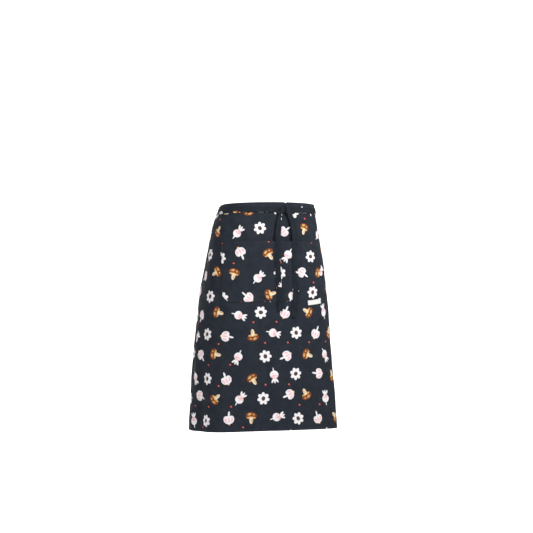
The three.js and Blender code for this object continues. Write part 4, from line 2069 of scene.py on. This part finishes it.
@dataclass(frozen=True)
class Lamp:
    """A large soft light, aimed at the apron's middle unless it says otherwise. Spread is in degrees."""

    name: str
    place: tuple[float, float, float]
    size: float
    power: float
    aim: tuple[float, float, float] = (0.0, 0.0, -LENGTH / 2)
    spread: float = 180.0


@dataclass
class Studio:
    """Pale sweep of paper, soft lights and the camera."""

    floor: float = -1.25
    paper_width: float = 90.0
    paper_front: float = -45.0
    paper_back: float = 8.0
    paper_top: float = 6.0
    paper_curve: float = 2.4
    curve_steps: int = 24
    distance: float = 4.5
    turn: float = 14.0
    eye_height: float = -0.1793
    scale_at_axis: float = 0.00317
    image_side: int = 533
    origin_column: float = 267.8
    horizon_row: float = 265.6
    lamps: tuple[Lamp, ...] = (
        Lamp("key_light", (1.35, -2.7, 1.8), 0.9, 7.6, (0.0, 0.0, 0.1), 45.0),
        Lamp("fill_light", (-2.9, -2.8, 0.9), 2.4, 32),
        Lamp("top_light", (0.2, 0.2, 3.4), 2.2, 22),
        Lamp("paper_light", (0.6, 4.4, 4.6), 4.4, 540, (1.4, 7.6, 0.0)),
    )
    surround: float = 0.42

    def build(self) -> None:
        """Sets up the stage, the lights and the camera."""
        self._paper()
        for lamp in self.lamps:
            self._light(lamp)
        self._camera()
        world = bpy.data.worlds.new("studio")
        world.use_nodes = True
        sky = world.node_tree.nodes["Background"].inputs
        sky["Color"].default_value = (1, 1, 1, 1)
        sky["Strength"].default_value = self.surround
        bpy.context.scene.world = world
        bpy.context.scene.view_settings.view_transform = "Standard"

    def _paper(self) -> None:
        """Lays the floor and sweeps it up into a wall behind."""
        bpy.ops.object.select_all(action="DESELECT")
        middle = (self.paper_back + self.paper_front) / 2
        bpy.ops.mesh.primitive_plane_add(size=1, location=(0, middle, self.floor))
        paper = bpy.context.object
        paper.name = "studio_paper"
        paper.scale = (self.paper_width, self.paper_back - self.paper_front, 1)
        bpy.ops.object.transform_apply(location=True, rotation=True, scale=True)
        self._select_far_edge(paper)
        wall = (0, 0, self.paper_top - self.floor)
        bpy.ops.mesh.extrude_region_move(TRANSFORM_OT_translate={"value": wall})
        self._select_far_edge(paper)
        bpy.ops.mesh.bevel(offset=self.paper_curve, segments=self.curve_steps)
        bpy.ops.object.mode_set(mode="OBJECT")
        bpy.ops.object.shade_smooth()
        paper.data.materials.append(Backdrop().material())

    def _select_far_edge(self, paper: Piece) -> None:
        """Selects the floor's far edge, and leaves the paper in edit mode.

        Args:
            paper: The paper.
        """
        bpy.ops.object.mode_set(mode="EDIT")
        bpy.ops.mesh.select_mode(type="EDGE")
        bpy.ops.mesh.select_all(action="DESELECT")
        bpy.ops.object.mode_set(mode="OBJECT")
        for edge in paper.data.edges:
            ends = [paper.data.vertices[index].co for index in edge.vertices]
            off = [abs(end.y - self.paper_back) + abs(end.z - self.floor) for end in ends]
            edge.select = max(off) < NEAR_ENOUGH
        bpy.ops.object.mode_set(mode="EDIT")

    @staticmethod
    def _light(lamp: Lamp) -> None:
        """Hangs one lamp.

        Args:
            lamp: The lamp.
        """
        data = bpy.data.lights.new(lamp.name, "AREA")
        data.size = lamp.size
        data.energy = lamp.power
        data.spread = math.radians(lamp.spread)
        light = bpy.data.objects.new(lamp.name, data)
        light.location = lamp.place
        aim = Vector(lamp.aim) - Vector(lamp.place)
        light.rotation_euler = aim.to_track_quat("-Z", "Y").to_euler()
        bpy.context.scene.collection.objects.link(light)

    def _camera(self) -> None:
        """Stands the camera level at the photo's turn and distance."""
        data = bpy.data.cameras.new("camera")
        focal = self.distance / self.scale_at_axis
        data.lens = data.sensor_width * focal / self.image_side
        data.shift_x = (self.image_side / 2 - self.origin_column) / self.image_side
        data.shift_y = (self.horizon_row - self.image_side / 2) / self.image_side
        camera = bpy.data.objects.new("camera", data)
        turn = math.radians(self.turn)
        camera.location = (-self.distance * math.sin(turn), -self.distance * math.cos(turn), self.eye_height)
        camera.rotation_euler = (math.pi / 2, 0, -turn)
        bpy.context.scene.collection.objects.link(camera)
        bpy.context.scene.camera = camera


def main() -> None:
    """Builds the apron piece by piece and sets up the studio."""
    logging.basicConfig(level=logging.INFO, format="%(message)s")
    form = WornForm()
    finishes = Wardrobe.make()

    skirt = Skirt(form, finishes)
    panel = skirt.build()
    band = Waistband(form, finishes)
    strip = band.build()
    pocket = Pocket(form, finishes)
    patch = pocket.build()
    label = Label(form, finishes, pocket)
    tape = label.build()
    skirt.flat_size()
    skirt.stitch()
    band.flat_size()
    band.stitch()
    pocket.flat_size()
    pocket.stitch()
    label.flat_size()

    for side, over in ((Side.LEFT, True), (Side.RIGHT, False)):
        tie = WaistTie(form, finishes, side, over)
        strap = tie.build()
        tie.flat_size()
        tie.stitch()
    knot = Knot(form, finishes)
    bundle = knot.build()
    for side, rows in ((Side.LEFT, LEFT_TAIL), (Side.RIGHT, RIGHT_TAIL)):
        tail = TieTail(form, finishes, side, rows)
        end = tail.build()
        tail.flat_size()
        tail.stitch()

    Studio().build()


if __name__ == "__main__":
    main()
